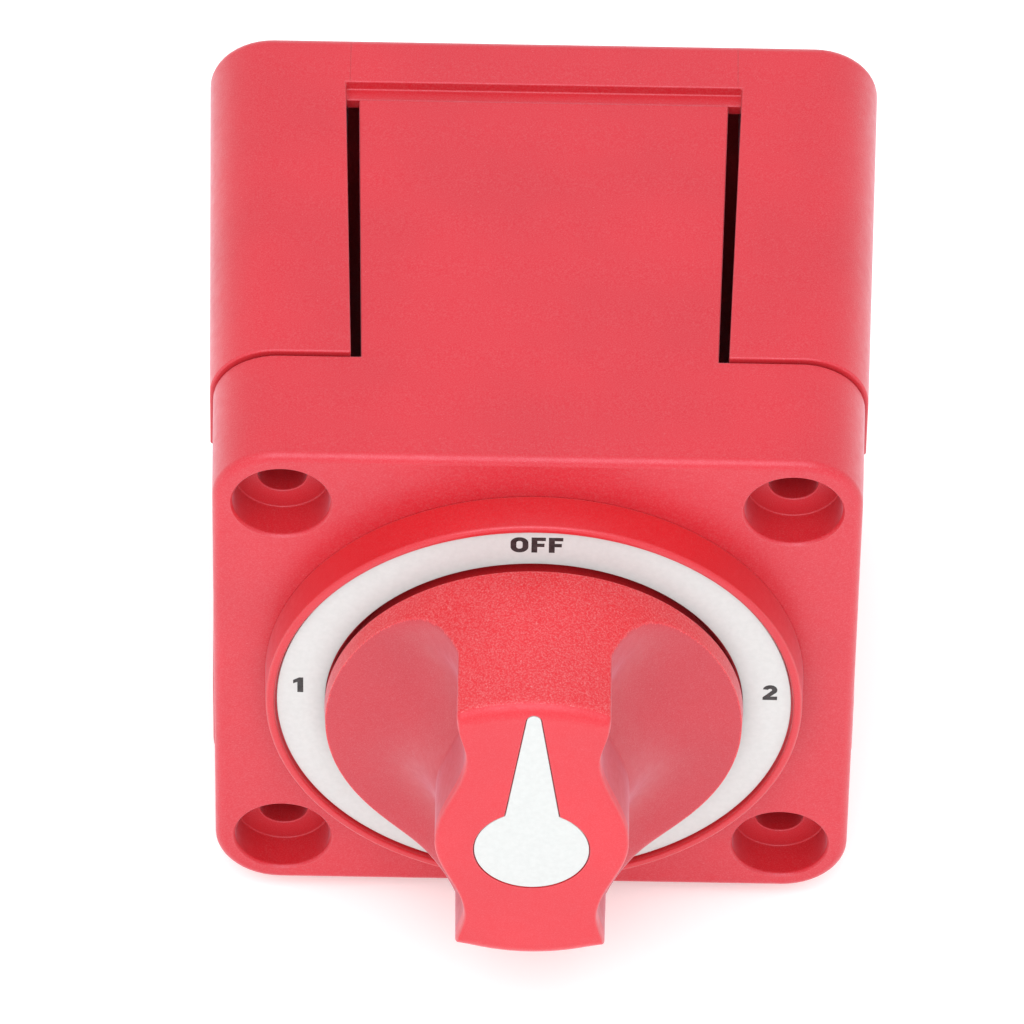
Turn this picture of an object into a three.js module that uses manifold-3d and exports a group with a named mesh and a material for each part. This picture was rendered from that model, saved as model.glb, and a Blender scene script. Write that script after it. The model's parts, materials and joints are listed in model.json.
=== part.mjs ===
// Four-position rotary battery switch, in millimetres.
// Frame: +X right, +Y towards the mounting surface behind the switch, +Z towards the OFF mark.
// Origin: centre of the flat rear mounting face, on the axis of the knob.
// "Depth" is measured backwards from the flat front face of the housing, so the knob is at negative depth.

import * as THREE from 'three';
import { mergeVertices } from 'three/addons/utils/BufferGeometryUtils.js';
import Module from 'manifold-3d';

const wasm = await Module();
wasm.setup();

// ---- Driving dimensions ----

const bodyDepth = 59.8;
const wall = 2.5;
const cornerRadius = 7;

const housingFrontHalf = 34.3;
const housingRearHalf = 34.6;
const housingDepth = 14.3;
const plateThickness = 3.5;
const frontEdgeFillet = 1;

const coverFrontDepth = 14.6;
const coverFrontHalf = 34.95;
const coverRearHalf = 36.2;
const coverBackThickness = 2.5;

const tongueEndDepth = 51.2;
const tongueFrontHalfWidth = 18.9;
const tongueRearHalfWidth = 19.9;
const notchEndDepth = 53.2;
const notchFrontHalfWidth = 20;
const notchRearHalfWidth = 21.35;
const ledgeFrontDepth = 51.6;
const ledgeInset = 1.2;

const holePitch = 54;
const holeRadius = 2.6;
const counterboreRadius = 5.15;
const counterboreDepth = 4.2;
const bossRadius = 7;
const postRadius = 5.8;
const postHoleRadius = 2.75;

const bezelRadius = 28.8;
const bezelHeight = 4.35;
const bezelSeatGap = 0.02;
const labelSeatRadius = 27.7;
const labelSeatHeight = 3.4;
const labelThickness = 0.3;
const labelOuterRadius = 27.45;
const labelInnerRadius = 22.3;
const wellRadius = 22;
const wellFloorRadius = 21.85;
const wellFloorHeight = 0.8;

const knobHeight = 22.3;
const knobRimRadius = 22.5;
const knobRimHeight = 4.75;
const knobFaceRadius = 20.1;
const hubRadius = 20.6;
const hubEndHeight = 1.4;
const barSwell = 10.3;
const barSwellPlace = -1.8;
const barPinch = 7.1;
const barUpperPinchPlace = 11.7;
const barLowerPinchPlace = -13.5;
const barEnd = 8.1;
const barFlareLength = 6;
const scoopFloorHeight = 6.75;
const scoopRise = 7.25;
const scoopFade = 2.84;
const scoopReach = 16;

const labelGlueGap = 0.03;
const pointerThickness = 0.35;
const pointerPocketDepth = 0.45;
const pointerGap = 0.12;
const pointerDiscRadius = 6.1;
const pointerDiscPlace = -2.5;
const pointerNeckHalfWidth = 2.85;
const pointerNeckPlace = 3;
const pointerTipRadius = 0.75;
const pointerTipPlace = 19;
const pointerCurve = { curveSegments: 12 };

const chamberOuterRadius = 28.5;
const chamberInnerRadius = 24.5;
const chamberEndDepth = 16;
const lipOuterHalf = 32;
const lipThickness = 1.4;
const lipEndDepth = 16.6;

const shaftRadius = 5;
const shaftFrontHeight = 13.6;
const shaftEndDepth = 12;
const shaftFlat = 4.1;
const socketEndGap = 0.4;
const runningGap = 0.08;
const clipGrooveDepth = 3.6;
const clipThickness = 0.6;
const clipGrooveRadius = 4.1;
const clipOuterRadius = 7.6;
const clipMouthAngle = 35;
const sealGrooveRadius = 6.2;
const sealGrooveDepth = 0.5;
const sealGrooveWidth = 1.5;
const shaftSealRadius = 0.5;

const carrierDepth = 4.6;
const carrierThickness = 5;
const carrierRadius = 20;
const carrierHubRadius = 7.5;
const carrierPilotRadius = 4.6;
const carrierHubEndDepth = 15.2;
const carrierPilotEndDepth = 18;
const driveLug = { halfWidth: 2, inner: 11.4, outer: 15 };

const detentRadius = 15;
const detentBallRadius = 1.8;
const detentBallDepth = 5.4;
const detentHoleRadius = 1.95;
const detentHoleDepth = 9;
const dimpleRadius = 2;
const dimpleCentreDepth = 5;
const springEndGap = 0.05;
const detentCoil = { radius: 1.4, wireRadius: 0.25, turns: 2 };
const contactCoil = { radius: 8.8, wireRadius: 0.35, turns: 2 };

const bridgeDepth = 12.4;
const bridgeThickness = 2.4;
const bridgeInnerRadius = 7.8;
const bridgeCollarRadius = 10.8;
const bridgeOuterRadius = 18.5;
const bridgeHalfSpan = THREE.MathUtils.degToRad(93);
const lugClearance = 0.25;

const gasketFrontDepth = 16.1;
const gasketThickness = 0.8;
const baseDepth = 17;
const baseThickness = 6;
const baseRadius = 29.5;
const studCircle = 17.5;
const studAngles = { stud_1: 200, stud_common: 270, stud_2: 340 };
const studRadius = 5;
const studEndDepth = 45;
const studChamfer = 1;
const studHeadRadius = 6.8;
const studHeadThickness = 2.3;
const studHoleGap = 0.2;
const studSealRadius = 0.65;
const studSealRecess = { radius: 7.2, depth: 1.5 };
const contactRadius = 2.5;
const contactInset = 3.5;
const contactDepth = 14.95;
const nutAcrossFlats = 16;
const nutThickness = 8;
const nutChamfer = { across: 0.9, along: 0.6 };
const washerRadius = 9.6;
const washerThickness = 1.6;
const springWasherRadius = 8.6;
const springWasherThickness = 2.2;
const springWasherSplit = 1.2;
const stackGap = 0.1;
const screwCircle = 26.5;
const screwAngles = [45, 135, 225, 315];
const screwRadius = 1.25;
const screwTipDepth = 1.5;
const screwHead = { radius: 2.8, edge: 2, straight: 1.4, height: 2 };
const screwSlot = { halfWidth: 0.3, depth: 0.8 };
const screwPilotRadius = 1.35;
const screwPilotDepth = 1.2;
const screwClearRadius = 1.6;

// ---- Materials ----

const plastic = (color, roughness) => new THREE.MeshStandardMaterial({ color, roughness, metalness: 0 });
const metal = (color, roughness) => new THREE.MeshStandardMaterial({ color, roughness, metalness: 1 });

const redPlastic = plastic(0xd6303c, 0.5);
const knobPlastic = plastic(0xe0333f, 0.45);
const whiteLabel = plastic(0xece9e7, 0.4);
const darkPlastic = plastic(0x26282c, 0.6);
const rubber = plastic(0x141414, 0.85);
const steel = metal(0xb9bcc0, 0.35);
const tinnedCopper = metal(0xc9c6bd, 0.3);
const copper = metal(0xc77b4f, 0.35);

// ---- Tools for making and placing shapes ----

const faceY = -bodyDepth;
const atDepth = (depth) => faceY + depth;
const radians = THREE.MathUtils.degToRad;

// A closed three.js geometry as a manifold solid.
function solid(geometry) {
  const bare = geometry.clone();
  bare.deleteAttribute('normal');
  bare.deleteAttribute('uv');
  const merged = mergeVertices(bare, 1e-4);
  const corners = Array.from(merged.index.array);
  const triangles = [];
  for (let i = 0; i < corners.length; i += 3) {
    const [a, b, c] = corners.slice(i, i + 3);
    if (a !== b && b !== c && c !== a) triangles.push(a, b, c);
  }
  return new wasm.Manifold(new wasm.Mesh({
    numProp: 3,
    vertProperties: merged.attributes.position.array,
    triVerts: new Uint32Array(triangles),
  }));
}

// A named mesh from a manifold solid.
function piece(name, body, material) {
  const { vertProperties, triVerts } = body.getMesh();
  const geometry = new THREE.BufferGeometry();
  geometry.setAttribute('position', new THREE.BufferAttribute(vertProperties, 3));
  geometry.setIndex(new THREE.BufferAttribute(triVerts, 1));
  geometry.computeVertexNormals();
  const mesh = new THREE.Mesh(geometry, material);
  mesh.name = name;
  return mesh;
}

// A solid of revolution about the knob axis. The profile is [radius, depth], front to rear outside.
function turned(profile, segments = 40) {
  const points = profile.map(([radius, depth]) => new THREE.Vector2(radius, atDepth(depth)));
  return solid(new THREE.LatheGeometry(points, segments));
}

function rod(radius, fromDepth, toDepth, segments = 20) {
  return turned([[0, fromDepth], [radius, fromDepth], [radius, toDepth], [0, toDepth]], segments);
}

function tube(innerRadius, outerRadius, fromDepth, toDepth, segments = 40) {
  const front = [[innerRadius, fromDepth], [outerRadius, fromDepth]];
  const rear = [[outerRadius, toDepth], [innerRadius, toDepth]];
  return turned([...front, ...rear, front[0]], segments);
}

// A flat outline in X and Z, drawn out along the depth.
function slabGeometry(shape, fromDepth, toDepth, options = {}) {
  const settings = { depth: toDepth - fromDepth, bevelEnabled: false, curveSegments: 5, ...options };
  const geometry = new THREE.ExtrudeGeometry(shape, settings);
  geometry.rotateX(Math.PI / 2);
  geometry.translate(0, atDepth(toDepth), 0);
  return geometry;
}

function slab(shape, fromDepth, toDepth, options) {
  return solid(slabGeometry(shape, fromDepth, toDepth, options));
}

function box(low, high) {
  const size = high.map((value, i) => value - low[i]);
  const geometry = new THREE.BoxGeometry(...size);
  geometry.translate(...low.map((value, i) => value + size[i] / 2));
  return solid(geometry);
}

function roundedSquare(half, radius) {
  const shape = new THREE.Shape();
  const inner = half - radius;
  shape.absarc(inner, inner, radius, 0, Math.PI / 2);
  shape.absarc(-inner, inner, radius, Math.PI / 2, Math.PI);
  shape.absarc(-inner, -inner, radius, Math.PI, 1.5 * Math.PI);
  shape.absarc(inner, -inner, radius, 1.5 * Math.PI, 2 * Math.PI);
  return shape;
}

// A rounded square block whose sides widen steadily from front to rear.
function draftedBlock(frontHalf, rearHalf, fromDepth, toDepth, radius = cornerRadius) {
  const geometry = slabGeometry(roundedSquare(frontHalf, radius), fromDepth, toDepth);
  const position = geometry.attributes.position;
  const growth = (rearHalf / frontHalf - 1) / (toDepth - fromDepth);
  for (let i = 0; i < position.count; i += 1) {
    const scale = 1 + growth * (position.getY(i) - atDepth(fromDepth));
    position.setX(i, position.getX(i) * scale);
    position.setZ(i, position.getZ(i) * scale);
  }
  return solid(geometry);
}

// A bar along Z whose width in X changes steadily from front to rear; it passes through two opposite sides.
function sideWedge(frontHalfWidth, rearHalfWidth, fromDepth, toDepth) {
  const reach = 100;
  const geometry = new THREE.BoxGeometry(2, toDepth - fromDepth, reach);
  geometry.translate(0, atDepth((fromDepth + toDepth) / 2), 0);
  const position = geometry.attributes.position;
  const middleY = atDepth((fromDepth + toDepth) / 2);
  for (let i = 0; i < position.count; i += 1) {
    const halfWidth = position.getY(i) < middleY ? frontHalfWidth : rearHalfWidth;
    position.setX(i, position.getX(i) * halfWidth);
  }
  return solid(geometry);
}

const quarterTurns = [0, 90, 180, 270];
const joined = (bodies) => bodies.reduce((all, one) => all.add(one));
const around = (body, angles) => joined(angles.map((angle) => body.rotate([0, angle, 0])));
const onAllSides = (wedge) => around(wedge, [0, 90]);

// The centre of a feature at an angle in the front view, counted anticlockwise from +X.
function polar(radius, degrees) {
  return [radius * Math.cos(radians(degrees)), radius * Math.sin(radians(degrees))];
}

const movedTo = (body, [x, z]) => body.translate([x, 0, z]);

function atMountingHoles(body) {
  const half = holePitch / 2;
  const places = [[half, half], [-half, half], [-half, -half], [half, -half]];
  return joined(places.map((place) => movedTo(body, place)));
}

// A ring with a round section, lying about the knob axis.
function roundRing(ringRadius, sectionRadius, depth, sectionSides = 6, segments = 24) {
  const profile = [];
  for (let i = 0; i <= sectionSides; i += 1) {
    const angle = (i / sectionSides) * 2 * Math.PI;
    profile.push([ringRadius + sectionRadius * Math.cos(angle), depth + sectionRadius * Math.sin(angle)]);
  }
  return turned(profile, segments);
}

// A coil spring about the Y axis.
class CoilCurve extends THREE.Curve {
  constructor(radius, fromY, toY, turns) {
    super();
    Object.assign(this, { radius, fromY, toY, turns });
  }

  getPoint(t, target = new THREE.Vector3()) {
    const angle = t * this.turns * 2 * Math.PI;
    const y = this.fromY + t * (this.toY - this.fromY);
    return target.set(this.radius * Math.cos(angle), y, this.radius * Math.sin(angle));
  }
}

function coilSpring({ radius, wireRadius, turns }, fromDepth, toDepth) {
  const curve = new CoilCurve(radius, atDepth(fromDepth + wireRadius), atDepth(toDepth - wireRadius), turns);
  const section = new THREE.Shape();
  section.absarc(0, 0, wireRadius, 0, 2 * Math.PI);
  const stepsPerTurn = 10;
  const settings = { steps: turns * stepsPerTurn, extrudePath: curve, curveSegments: 3, bevelEnabled: false };
  return solid(new THREE.ExtrudeGeometry(section, settings));
}

// ---- Front housing: face plate with its side walls, locating lip and four screw bosses ----

// Half the width over the outer faces of the housing and its break-out tongues.
const housingSlope = (housingRearHalf - housingFrontHalf) / housingDepth;
const housingHalf = (depth) => housingFrontHalf + housingSlope * depth;

function housingShell() {
  const faceHalf = housingFrontHalf - frontEdgeFillet;
  const face = draftedBlock(faceHalf, housingHalf(frontEdgeFillet), 0, frontEdgeFillet);
  const sides = draftedBlock(housingHalf(frontEdgeFillet), housingRearHalf, frontEdgeFillet, housingDepth);
  const wellFloor = rod(wellFloorRadius, -wellFloorHeight, 1, 40);
  const hollow = draftedBlock(lipOuterHalf, lipOuterHalf, plateThickness, housingDepth + 1);
  return face.add(sides).subtract(hollow).add(wellFloor);
}

function locatingLip() {
  const inner = lipOuterHalf - lipThickness;
  const overlap = 0.3;
  const rootHalf = lipOuterHalf + overlap;
  const root = draftedBlock(rootHalf, rootHalf, plateThickness - 1, housingDepth);
  const rim = draftedBlock(lipOuterHalf, lipOuterHalf, plateThickness, lipEndDepth);
  const hollow = draftedBlock(inner, inner, plateThickness, lipEndDepth + 1);
  const postSpace = atMountingHoles(rod(bossRadius, housingDepth, lipEndDepth + 1));
  return root.add(rim).subtract(hollow).subtract(postSpace);
}

function frontHousing() {
  const bosses = atMountingHoles(rod(bossRadius, 1, housingDepth)).intersect(
    draftedBlock(housingFrontHalf, housingRearHalf, 0, housingDepth),
  );
  const pilot = rod(screwPilotRadius, screwPilotDepth, plateThickness + 1, 8).translate([screwCircle, 0, 0]);
  const screwHoles = atMountingHoles(rod(holeRadius, -1, housingDepth + 1, 16))
    .add(atMountingHoles(rod(counterboreRadius, -1, counterboreDepth, 24)));
  const shaftBore = rod(shaftRadius + runningGap, -bezelHeight, plateThickness + 1)
    .add(rod(sealGrooveRadius, sealGrooveDepth, sealGrooveDepth + sealGrooveWidth));
  const ball = new THREE.SphereGeometry(dimpleRadius, 10, 6);
  ball.translate(detentRadius, atDepth(dimpleCentreDepth), 0);
  const dimples = around(solid(ball), quarterTurns);
  return joined([housingShell(), locatingLip(), bosses])
    .subtract(joined([around(pilot, screwAngles), screwHoles, shaftBore, dimples]));
}

// One of four plates that close the cable notches, each breaking off along the housing's rear edge.
function breakOutTongue() {
  const front = housingDepth + 0.02;
  const frontHalf = housingHalf(front);
  const rearHalf = housingHalf(tongueEndDepth);
  const geometry = new THREE.BoxGeometry(2, tongueEndDepth - front, wall);
  const position = geometry.attributes.position;
  for (let i = 0; i < position.count; i += 1) {
    const atFront = position.getY(i) < 0;
    const halfWidth = atFront ? tongueFrontHalfWidth : tongueRearHalfWidth;
    const outerFace = atFront ? frontHalf : rearHalf;
    position.setX(i, position.getX(i) * halfWidth);
    position.setZ(i, position.getZ(i) + outerFace - wall / 2);
  }
  geometry.translate(0, atDepth((front + tongueEndDepth) / 2), 0);
  return solid(geometry);
}

// The raised ring round the dial, with a step inside it where the dial label lies.
function bezelRing() {
  const lipCorner = 0.3;
  return turned([
    [wellRadius, -labelSeatHeight],
    [labelSeatRadius, -labelSeatHeight],
    [labelSeatRadius, -bezelHeight],
    [bezelRadius - lipCorner - 0.15, -bezelHeight],
    [bezelRadius - 0.15, -bezelHeight + lipCorner],
    [bezelRadius, -bezelSeatGap],
    [wellRadius, -bezelSeatGap],
    [wellRadius, -labelSeatHeight],
  ], 60);
}

// The round wall of the contact space, clamped between the face plate and the terminal base.
function contactChamber() {
  const ring = tube(chamberInnerRadius, chamberOuterRadius, plateThickness + bezelSeatGap, chamberEndDepth);
  const hole = rod(screwClearRadius, plateThickness - 1, chamberEndDepth + 1, 10);
  return ring.subtract(around(hole.translate([screwCircle, 0, 0]), screwAngles));
}

// ---- Rear cover: deep shell with four screw posts and a cable notch in each side ----

// Each notch stops at a bar across the back of its side.
// A ledge inside the bar closes the gap at the tongue's end.
function cableNotches(outerHalf, cavityEnd) {
  const coreHalf = coverFrontHalf - wall - 1;
  const core = draftedBlock(coreHalf, coreHalf, coverFrontDepth - 1, cavityEnd);
  const ledgeHalf = outerHalf(notchEndDepth) - ledgeInset;
  const ledge = draftedBlock(ledgeHalf, ledgeHalf, ledgeFrontDepth, notchEndDepth + 1);
  const wedge = sideWedge(notchFrontHalfWidth, notchRearHalfWidth, coverFrontDepth - 1, notchEndDepth);
  return onAllSides(wedge).subtract(core).subtract(ledge);
}

function rearCover() {
  const slope = (coverRearHalf - coverFrontHalf) / (bodyDepth - coverFrontDepth);
  const outerHalf = (depth) => coverFrontHalf + slope * (depth - coverFrontDepth);
  const cavityEnd = bodyDepth - coverBackThickness;
  const cavityFront = coverFrontDepth - 0.01;
  const shell = draftedBlock(coverFrontHalf, coverRearHalf, coverFrontDepth, bodyDepth);
  const cavityFrontHalf = outerHalf(cavityFront) - wall;
  const cavityRearHalf = outerHalf(cavityEnd) - wall;
  const cavity = draftedBlock(cavityFrontHalf, cavityRearHalf, cavityFront, cavityEnd);
  const posts = atMountingHoles(rod(postRadius, coverFrontDepth + 0.1, bodyDepth));
  const postHoles = atMountingHoles(rod(postHoleRadius, coverFrontDepth - 1, bodyDepth + 1));
  return shell.subtract(cavity).add(posts).subtract(cableNotches(outerHalf, cavityEnd)).subtract(postHoles);
}

// ---- Knob: a low disc with a tall waisted bar, cut by two finger scoops ----

// The bar swells round the pointer's disc, narrows on both sides of it and flares again at its ends.
function barHalfWidth(z) {
  const pinchPlace = z > barSwellPlace ? barUpperPinchPlace : barLowerPinchPlace;
  const share = (z - barSwellPlace) / (pinchPlace - barSwellPlace);
  if (share < 1) {
    const middle = (barSwell + barPinch) / 2;
    return middle + (barSwell - barPinch) / 2 * Math.cos(Math.PI * share);
  }
  const t = Math.min(Math.abs(z - pinchPlace) / barFlareLength, 1);
  return barPinch + (barEnd - barPinch) * (1 - Math.cos(Math.PI * t)) / 2;
}

// The bar's sides stand upright under the face, then flare out as the floors of the finger scoops.
function scoopedBar() {
  const rows = 9;
  const length = 48;
  const geometry = new THREE.BoxGeometry(2, rows, length, 1, rows, 24);
  const position = geometry.attributes.position;
  for (let i = 0; i < position.count; i += 1) {
    const row = Math.round(position.getY(i) + rows / 2);
    const t = Math.min(Math.max(row - 1, 0) / (rows - 2), 1);
    const flare = scoopReach * (1 - t) ** 2;
    const scoopHeight = scoopFloorHeight + scoopRise * Math.exp(-flare / scoopFade);
    const height = row === 0 ? 0 : row === rows ? knobHeight + 1 : scoopHeight;
    const z = -position.getZ(i);
    const halfWidth = barHalfWidth(z) + flare;
    position.setXYZ(i, position.getX(i) * halfWidth, atDepth(-height), z);
  }
  return solid(geometry);
}

// A round rod with one flat, so that it drives what is fitted on it.
function flattedRod(radius, flat, fromDepth, toDepth) {
  const reach = radius + 1;
  const cut = box([flat, atDepth(fromDepth) - 1, -reach], [reach, atDepth(toDepth) + 1, reach]);
  return rod(radius, fromDepth, toDepth).subtract(cut);
}

// Round disc with a straight-sided needle that ends in a rounded tip.
function pointerOutline(growth) {
  const shape = new THREE.Shape();
  const discRadius = pointerDiscRadius + growth;
  const neck = pointerNeckHalfWidth + growth;
  const neckAngle = Math.acos(neck / discRadius);
  const lean = Math.atan((pointerNeckHalfWidth - pointerTipRadius) / (pointerTipPlace - pointerNeckPlace));
  const tipRadius = pointerTipRadius + growth;
  shape.absarc(0, pointerTipPlace - pointerTipRadius, tipRadius, lean, Math.PI - lean);
  shape.absarc(0, pointerDiscPlace, discRadius, Math.PI - neckAngle, 2 * Math.PI + neckAngle);
  return shape;
}

function knob() {
  const body = turned([
    [0, -knobHeight],
    [knobFaceRadius - 1.3, -knobHeight],
    [knobFaceRadius - 0.35, -knobHeight + 0.4],
    [knobFaceRadius + 0.2, -knobHeight + 1.3],
    [knobRimRadius - 0.1, -knobRimHeight - 1.1],
    [knobRimRadius, -knobRimHeight - 0.5],
    [knobRimRadius - 0.3, -knobRimHeight],
    [hubRadius, -knobRimHeight],
    [hubRadius, -hubEndHeight],
    [0, -hubEndHeight],
  ], 48);
  const socketEnd = -shaftFrontHeight - socketEndGap;
  const socket = flattedRod(shaftRadius + runningGap, shaftFlat + runningGap, socketEnd, 0);
  const pocketFloor = -knobHeight + pointerPocketDepth;
  const pocket = slab(pointerOutline(pointerGap), -knobHeight - 1, pocketFloor, pointerCurve);
  return body.intersect(scoopedBar()).subtract(socket).subtract(pocket);
}

function pointerLabel() {
  const rear = -knobHeight + pointerPocketDepth - labelGlueGap;
  return slab(pointerOutline(0), rear - pointerThickness, rear, pointerCurve);
}

function dialLabel() {
  const rear = -labelSeatHeight - labelGlueGap;
  return tube(labelInnerRadius, labelOuterRadius, rear - labelThickness, rear, 60);
}

// ---- Rotor: shaft, retaining clip, seal, contact carrier, detents and the moving contact ----

function rotorShaft() {
  const grooveEnd = clipGrooveDepth + clipThickness + 0.05;
  const round = rod(shaftRadius, -hubEndHeight, grooveEnd + 0.25);
  const ends = flattedRod(shaftRadius, shaftFlat, -shaftFrontHeight, shaftEndDepth);
  const groove = tube(clipGrooveRadius, shaftRadius + 1, clipGrooveDepth - 0.05, grooveEnd);
  return round.add(ends).subtract(groove);
}

function retainingClip() {
  const shape = new THREE.Shape();
  const mouth = radians(clipMouthAngle);
  shape.absarc(0, 0, clipOuterRadius, mouth, 2 * Math.PI - mouth);
  shape.absarc(0, 0, clipGrooveRadius + 0.1, 2 * Math.PI - mouth, mouth, true);
  return slab(shape, clipGrooveDepth, clipGrooveDepth + clipThickness, { curveSegments: 12 });
}

function contactCarrier() {
  const rear = carrierDepth + carrierThickness;
  const body = turned([
    [0, carrierDepth],
    [carrierRadius, carrierDepth],
    [carrierRadius, rear],
    [carrierHubRadius, rear],
    [carrierHubRadius, carrierHubEndDepth],
    [carrierPilotRadius, carrierHubEndDepth],
    [carrierPilotRadius, carrierPilotEndDepth],
    [0, carrierPilotEndDepth],
  ]);
  const { halfWidth, inner, outer } = driveLug;
  const lugEnd = bridgeDepth + bridgeThickness - 0.2;
  const lug = box([-halfWidth, atDepth(rear - 1), inner], [halfWidth, atDepth(lugEnd), outer]);
  const boreEnd = shaftEndDepth + 0.3;
  const bore = flattedRod(shaftRadius + runningGap, shaftFlat + runningGap, carrierDepth - 1, boreEnd);
  const ballHole = rod(detentHoleRadius, carrierDepth - 1, detentHoleDepth).translate([detentRadius, 0, 0]);
  return body.add(lug).subtract(bore).subtract(around(ballHole, [0, 180]));
}

function detentBall(side) {
  const geometry = new THREE.SphereGeometry(detentBallRadius, 10, 6);
  geometry.translate(side * detentRadius, atDepth(detentBallDepth), 0);
  return solid(geometry);
}

function detentSpring(side) {
  const front = detentBallDepth + detentBallRadius + springEndGap;
  const spring = coilSpring(detentCoil, front, detentHoleDepth - springEndGap);
  return spring.translate([side * detentRadius, 0, 0]);
}

// A collar with a fan-shaped blade that spans just over half a turn about the pointer direction.
function contactBridge() {
  const shape = new THREE.Shape();
  const up = Math.PI / 2;
  shape.absarc(0, 0, bridgeOuterRadius, up - bridgeHalfSpan, up + bridgeHalfSpan);
  shape.absarc(0, 0, bridgeCollarRadius, up + bridgeHalfSpan, up - bridgeHalfSpan + 2 * Math.PI);
  const hole = new THREE.Path();
  hole.absarc(0, 0, bridgeInnerRadius, 0, 2 * Math.PI, true);
  const slot = new THREE.Path();
  const slotHalf = driveLug.halfWidth + lugClearance;
  const slotInner = driveLug.inner - lugClearance;
  const slotOuter = driveLug.outer + lugClearance;
  slot.moveTo(-slotHalf, slotInner);
  slot.lineTo(-slotHalf, slotOuter);
  slot.lineTo(slotHalf, slotOuter);
  slot.lineTo(slotHalf, slotInner);
  slot.closePath();
  shape.holes.push(hole, slot);
  return slab(shape, bridgeDepth, bridgeDepth + bridgeThickness, { curveSegments: 10 });
}

function contactSpring() {
  const front = carrierDepth + carrierThickness + springEndGap;
  return coilSpring(contactCoil, front, bridgeDepth - springEndGap);
}

// ---- Terminal base and what is screwed to it ----

function baseGasket() {
  const rear = gasketFrontDepth + gasketThickness;
  const ring = tube(chamberInnerRadius, chamberOuterRadius, gasketFrontDepth, rear);
  const hole = rod(screwClearRadius, gasketFrontDepth - 1, rear + 1, 10);
  return ring.subtract(around(hole.translate([screwCircle, 0, 0]), screwAngles));
}

function terminalBase() {
  const rear = baseDepth + baseThickness;
  const disc = rod(baseRadius, baseDepth, rear, 40);
  const pilot = rod(carrierPilotRadius + runningGap, baseDepth - 1, carrierPilotEndDepth + 0.4);
  const screwHole = rod(screwClearRadius, baseDepth - 1, rear + 1, 10).translate([screwCircle, 0, 0]);
  const headRecessEnd = baseDepth + studHeadThickness + 0.3;
  const studHole = rod(studRadius + studHoleGap, baseDepth - 1, rear + 1)
    .add(rod(studHeadRadius + studHoleGap, baseDepth - 1, headRecessEnd))
    .add(rod(studSealRecess.radius, rear - studSealRecess.depth, rear + 1));
  const studHoles = Object.values(studAngles).map((angle) => movedTo(studHole, polar(studCircle, angle)));
  return disc.subtract(joined([pilot, around(screwHole, screwAngles), ...studHoles]));
}

function baseScrew() {
  const seat = baseDepth + baseThickness + 0.02;
  const { radius, edge, straight, height } = screwHead;
  const { halfWidth, depth } = screwSlot;
  const slotFloor = atDepth(seat + height - depth);
  return turned([
    [0, screwTipDepth],
    [screwRadius, screwTipDepth],
    [screwRadius, seat],
    [radius, seat],
    [radius, seat + straight],
    [edge, seat + height],
    [0, seat + height],
  ], 10).subtract(box([-halfWidth, slotFloor, -radius - 1], [halfWidth, slotFloor + height, radius + 1]));
}

function stud(angle) {
  const head = baseDepth + 0.1;
  const shank = turned([
    [0, head],
    [studHeadRadius, head],
    [studHeadRadius, head + studHeadThickness],
    [studRadius, head + studHeadThickness],
    [studRadius, studEndDepth - studChamfer],
    [studRadius - studChamfer, studEndDepth],
    [0, studEndDepth],
  ], 20);
  const buttonPlace = polar(studCircle - contactInset, angle);
  const button = movedTo(rod(contactRadius, contactDepth, head + 1, 12), buttonPlace);
  return movedTo(shank, polar(studCircle, angle)).add(button);
}

function studSeal() {
  return roundRing(studRadius + 0.95, studSealRadius, baseDepth + baseThickness - 0.7);
}

const washerFront = baseDepth + baseThickness + 0.15;
const springWasherFront = washerFront + washerThickness + stackGap;
const nutFront = springWasherFront + springWasherThickness + stackGap;

function flatWasher() {
  return tube(studRadius + 0.25, washerRadius, washerFront, washerFront + washerThickness, 24);
}

// A split ring with its two ends apart.
function springWasher() {
  const half = springWasherSplit / 2;
  const split = box([0, atDepth(washerFront), -half], [springWasherRadius + 1, atDepth(nutFront + 1), half]);
  const rear = springWasherFront + springWasherThickness;
  return tube(studRadius + 0.2, springWasherRadius, springWasherFront, rear, 24).subtract(split);
}

function hexNut() {
  const cornerDistance = nutAcrossFlats / Math.sqrt(3);
  const rear = nutFront + nutThickness;
  const { across, along } = nutChamfer;
  const prism = rod(cornerDistance, nutFront, rear, 6);
  const chamfer = turned([
    [0, nutFront],
    [cornerDistance - across, nutFront],
    [cornerDistance, nutFront + along],
    [cornerDistance, rear - along],
    [cornerDistance - across, rear],
    [0, rear],
  ], 18);
  return prism.intersect(chamfer).subtract(rod(studRadius + 0.05, nutFront - 1, rear + 1));
}

// ---- The assembly ----

function terminals() {
  const meshes = [];
  for (const [name, angle] of Object.entries(studAngles)) {
    const place = polar(studCircle, angle);
    const label = name.replace('stud_', '');
    meshes.push(piece(name, stud(angle), tinnedCopper));
    meshes.push(piece(`stud_seal_${label}`, movedTo(studSeal(), place), rubber));
    meshes.push(piece(`flat_washer_${label}`, movedTo(flatWasher(), place), steel));
    meshes.push(piece(`spring_washer_${label}`, movedTo(springWasher(), place), steel));
    meshes.push(piece(`hex_nut_${label}`, movedTo(hexNut(), place), steel));
  }
  return meshes;
}

function baseScrews() {
  return screwAngles.map((angle, i) => (
    piece(`base_screw_${i + 1}`, movedTo(baseScrew(), polar(screwCircle, angle)), steel)
  ));
}

function breakOutTongues() {
  const tongue = breakOutTongue();
  return ['top', 'right', 'bottom', 'left'].map((side, i) => (
    piece(`break_out_tongue_${side}`, tongue.rotate([0, 90 * i, 0]), redPlastic)
  ));
}

const shaftSeal = roundRing(shaftRadius + 0.6, shaftSealRadius, sealGrooveDepth + sealGrooveWidth / 2);

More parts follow.
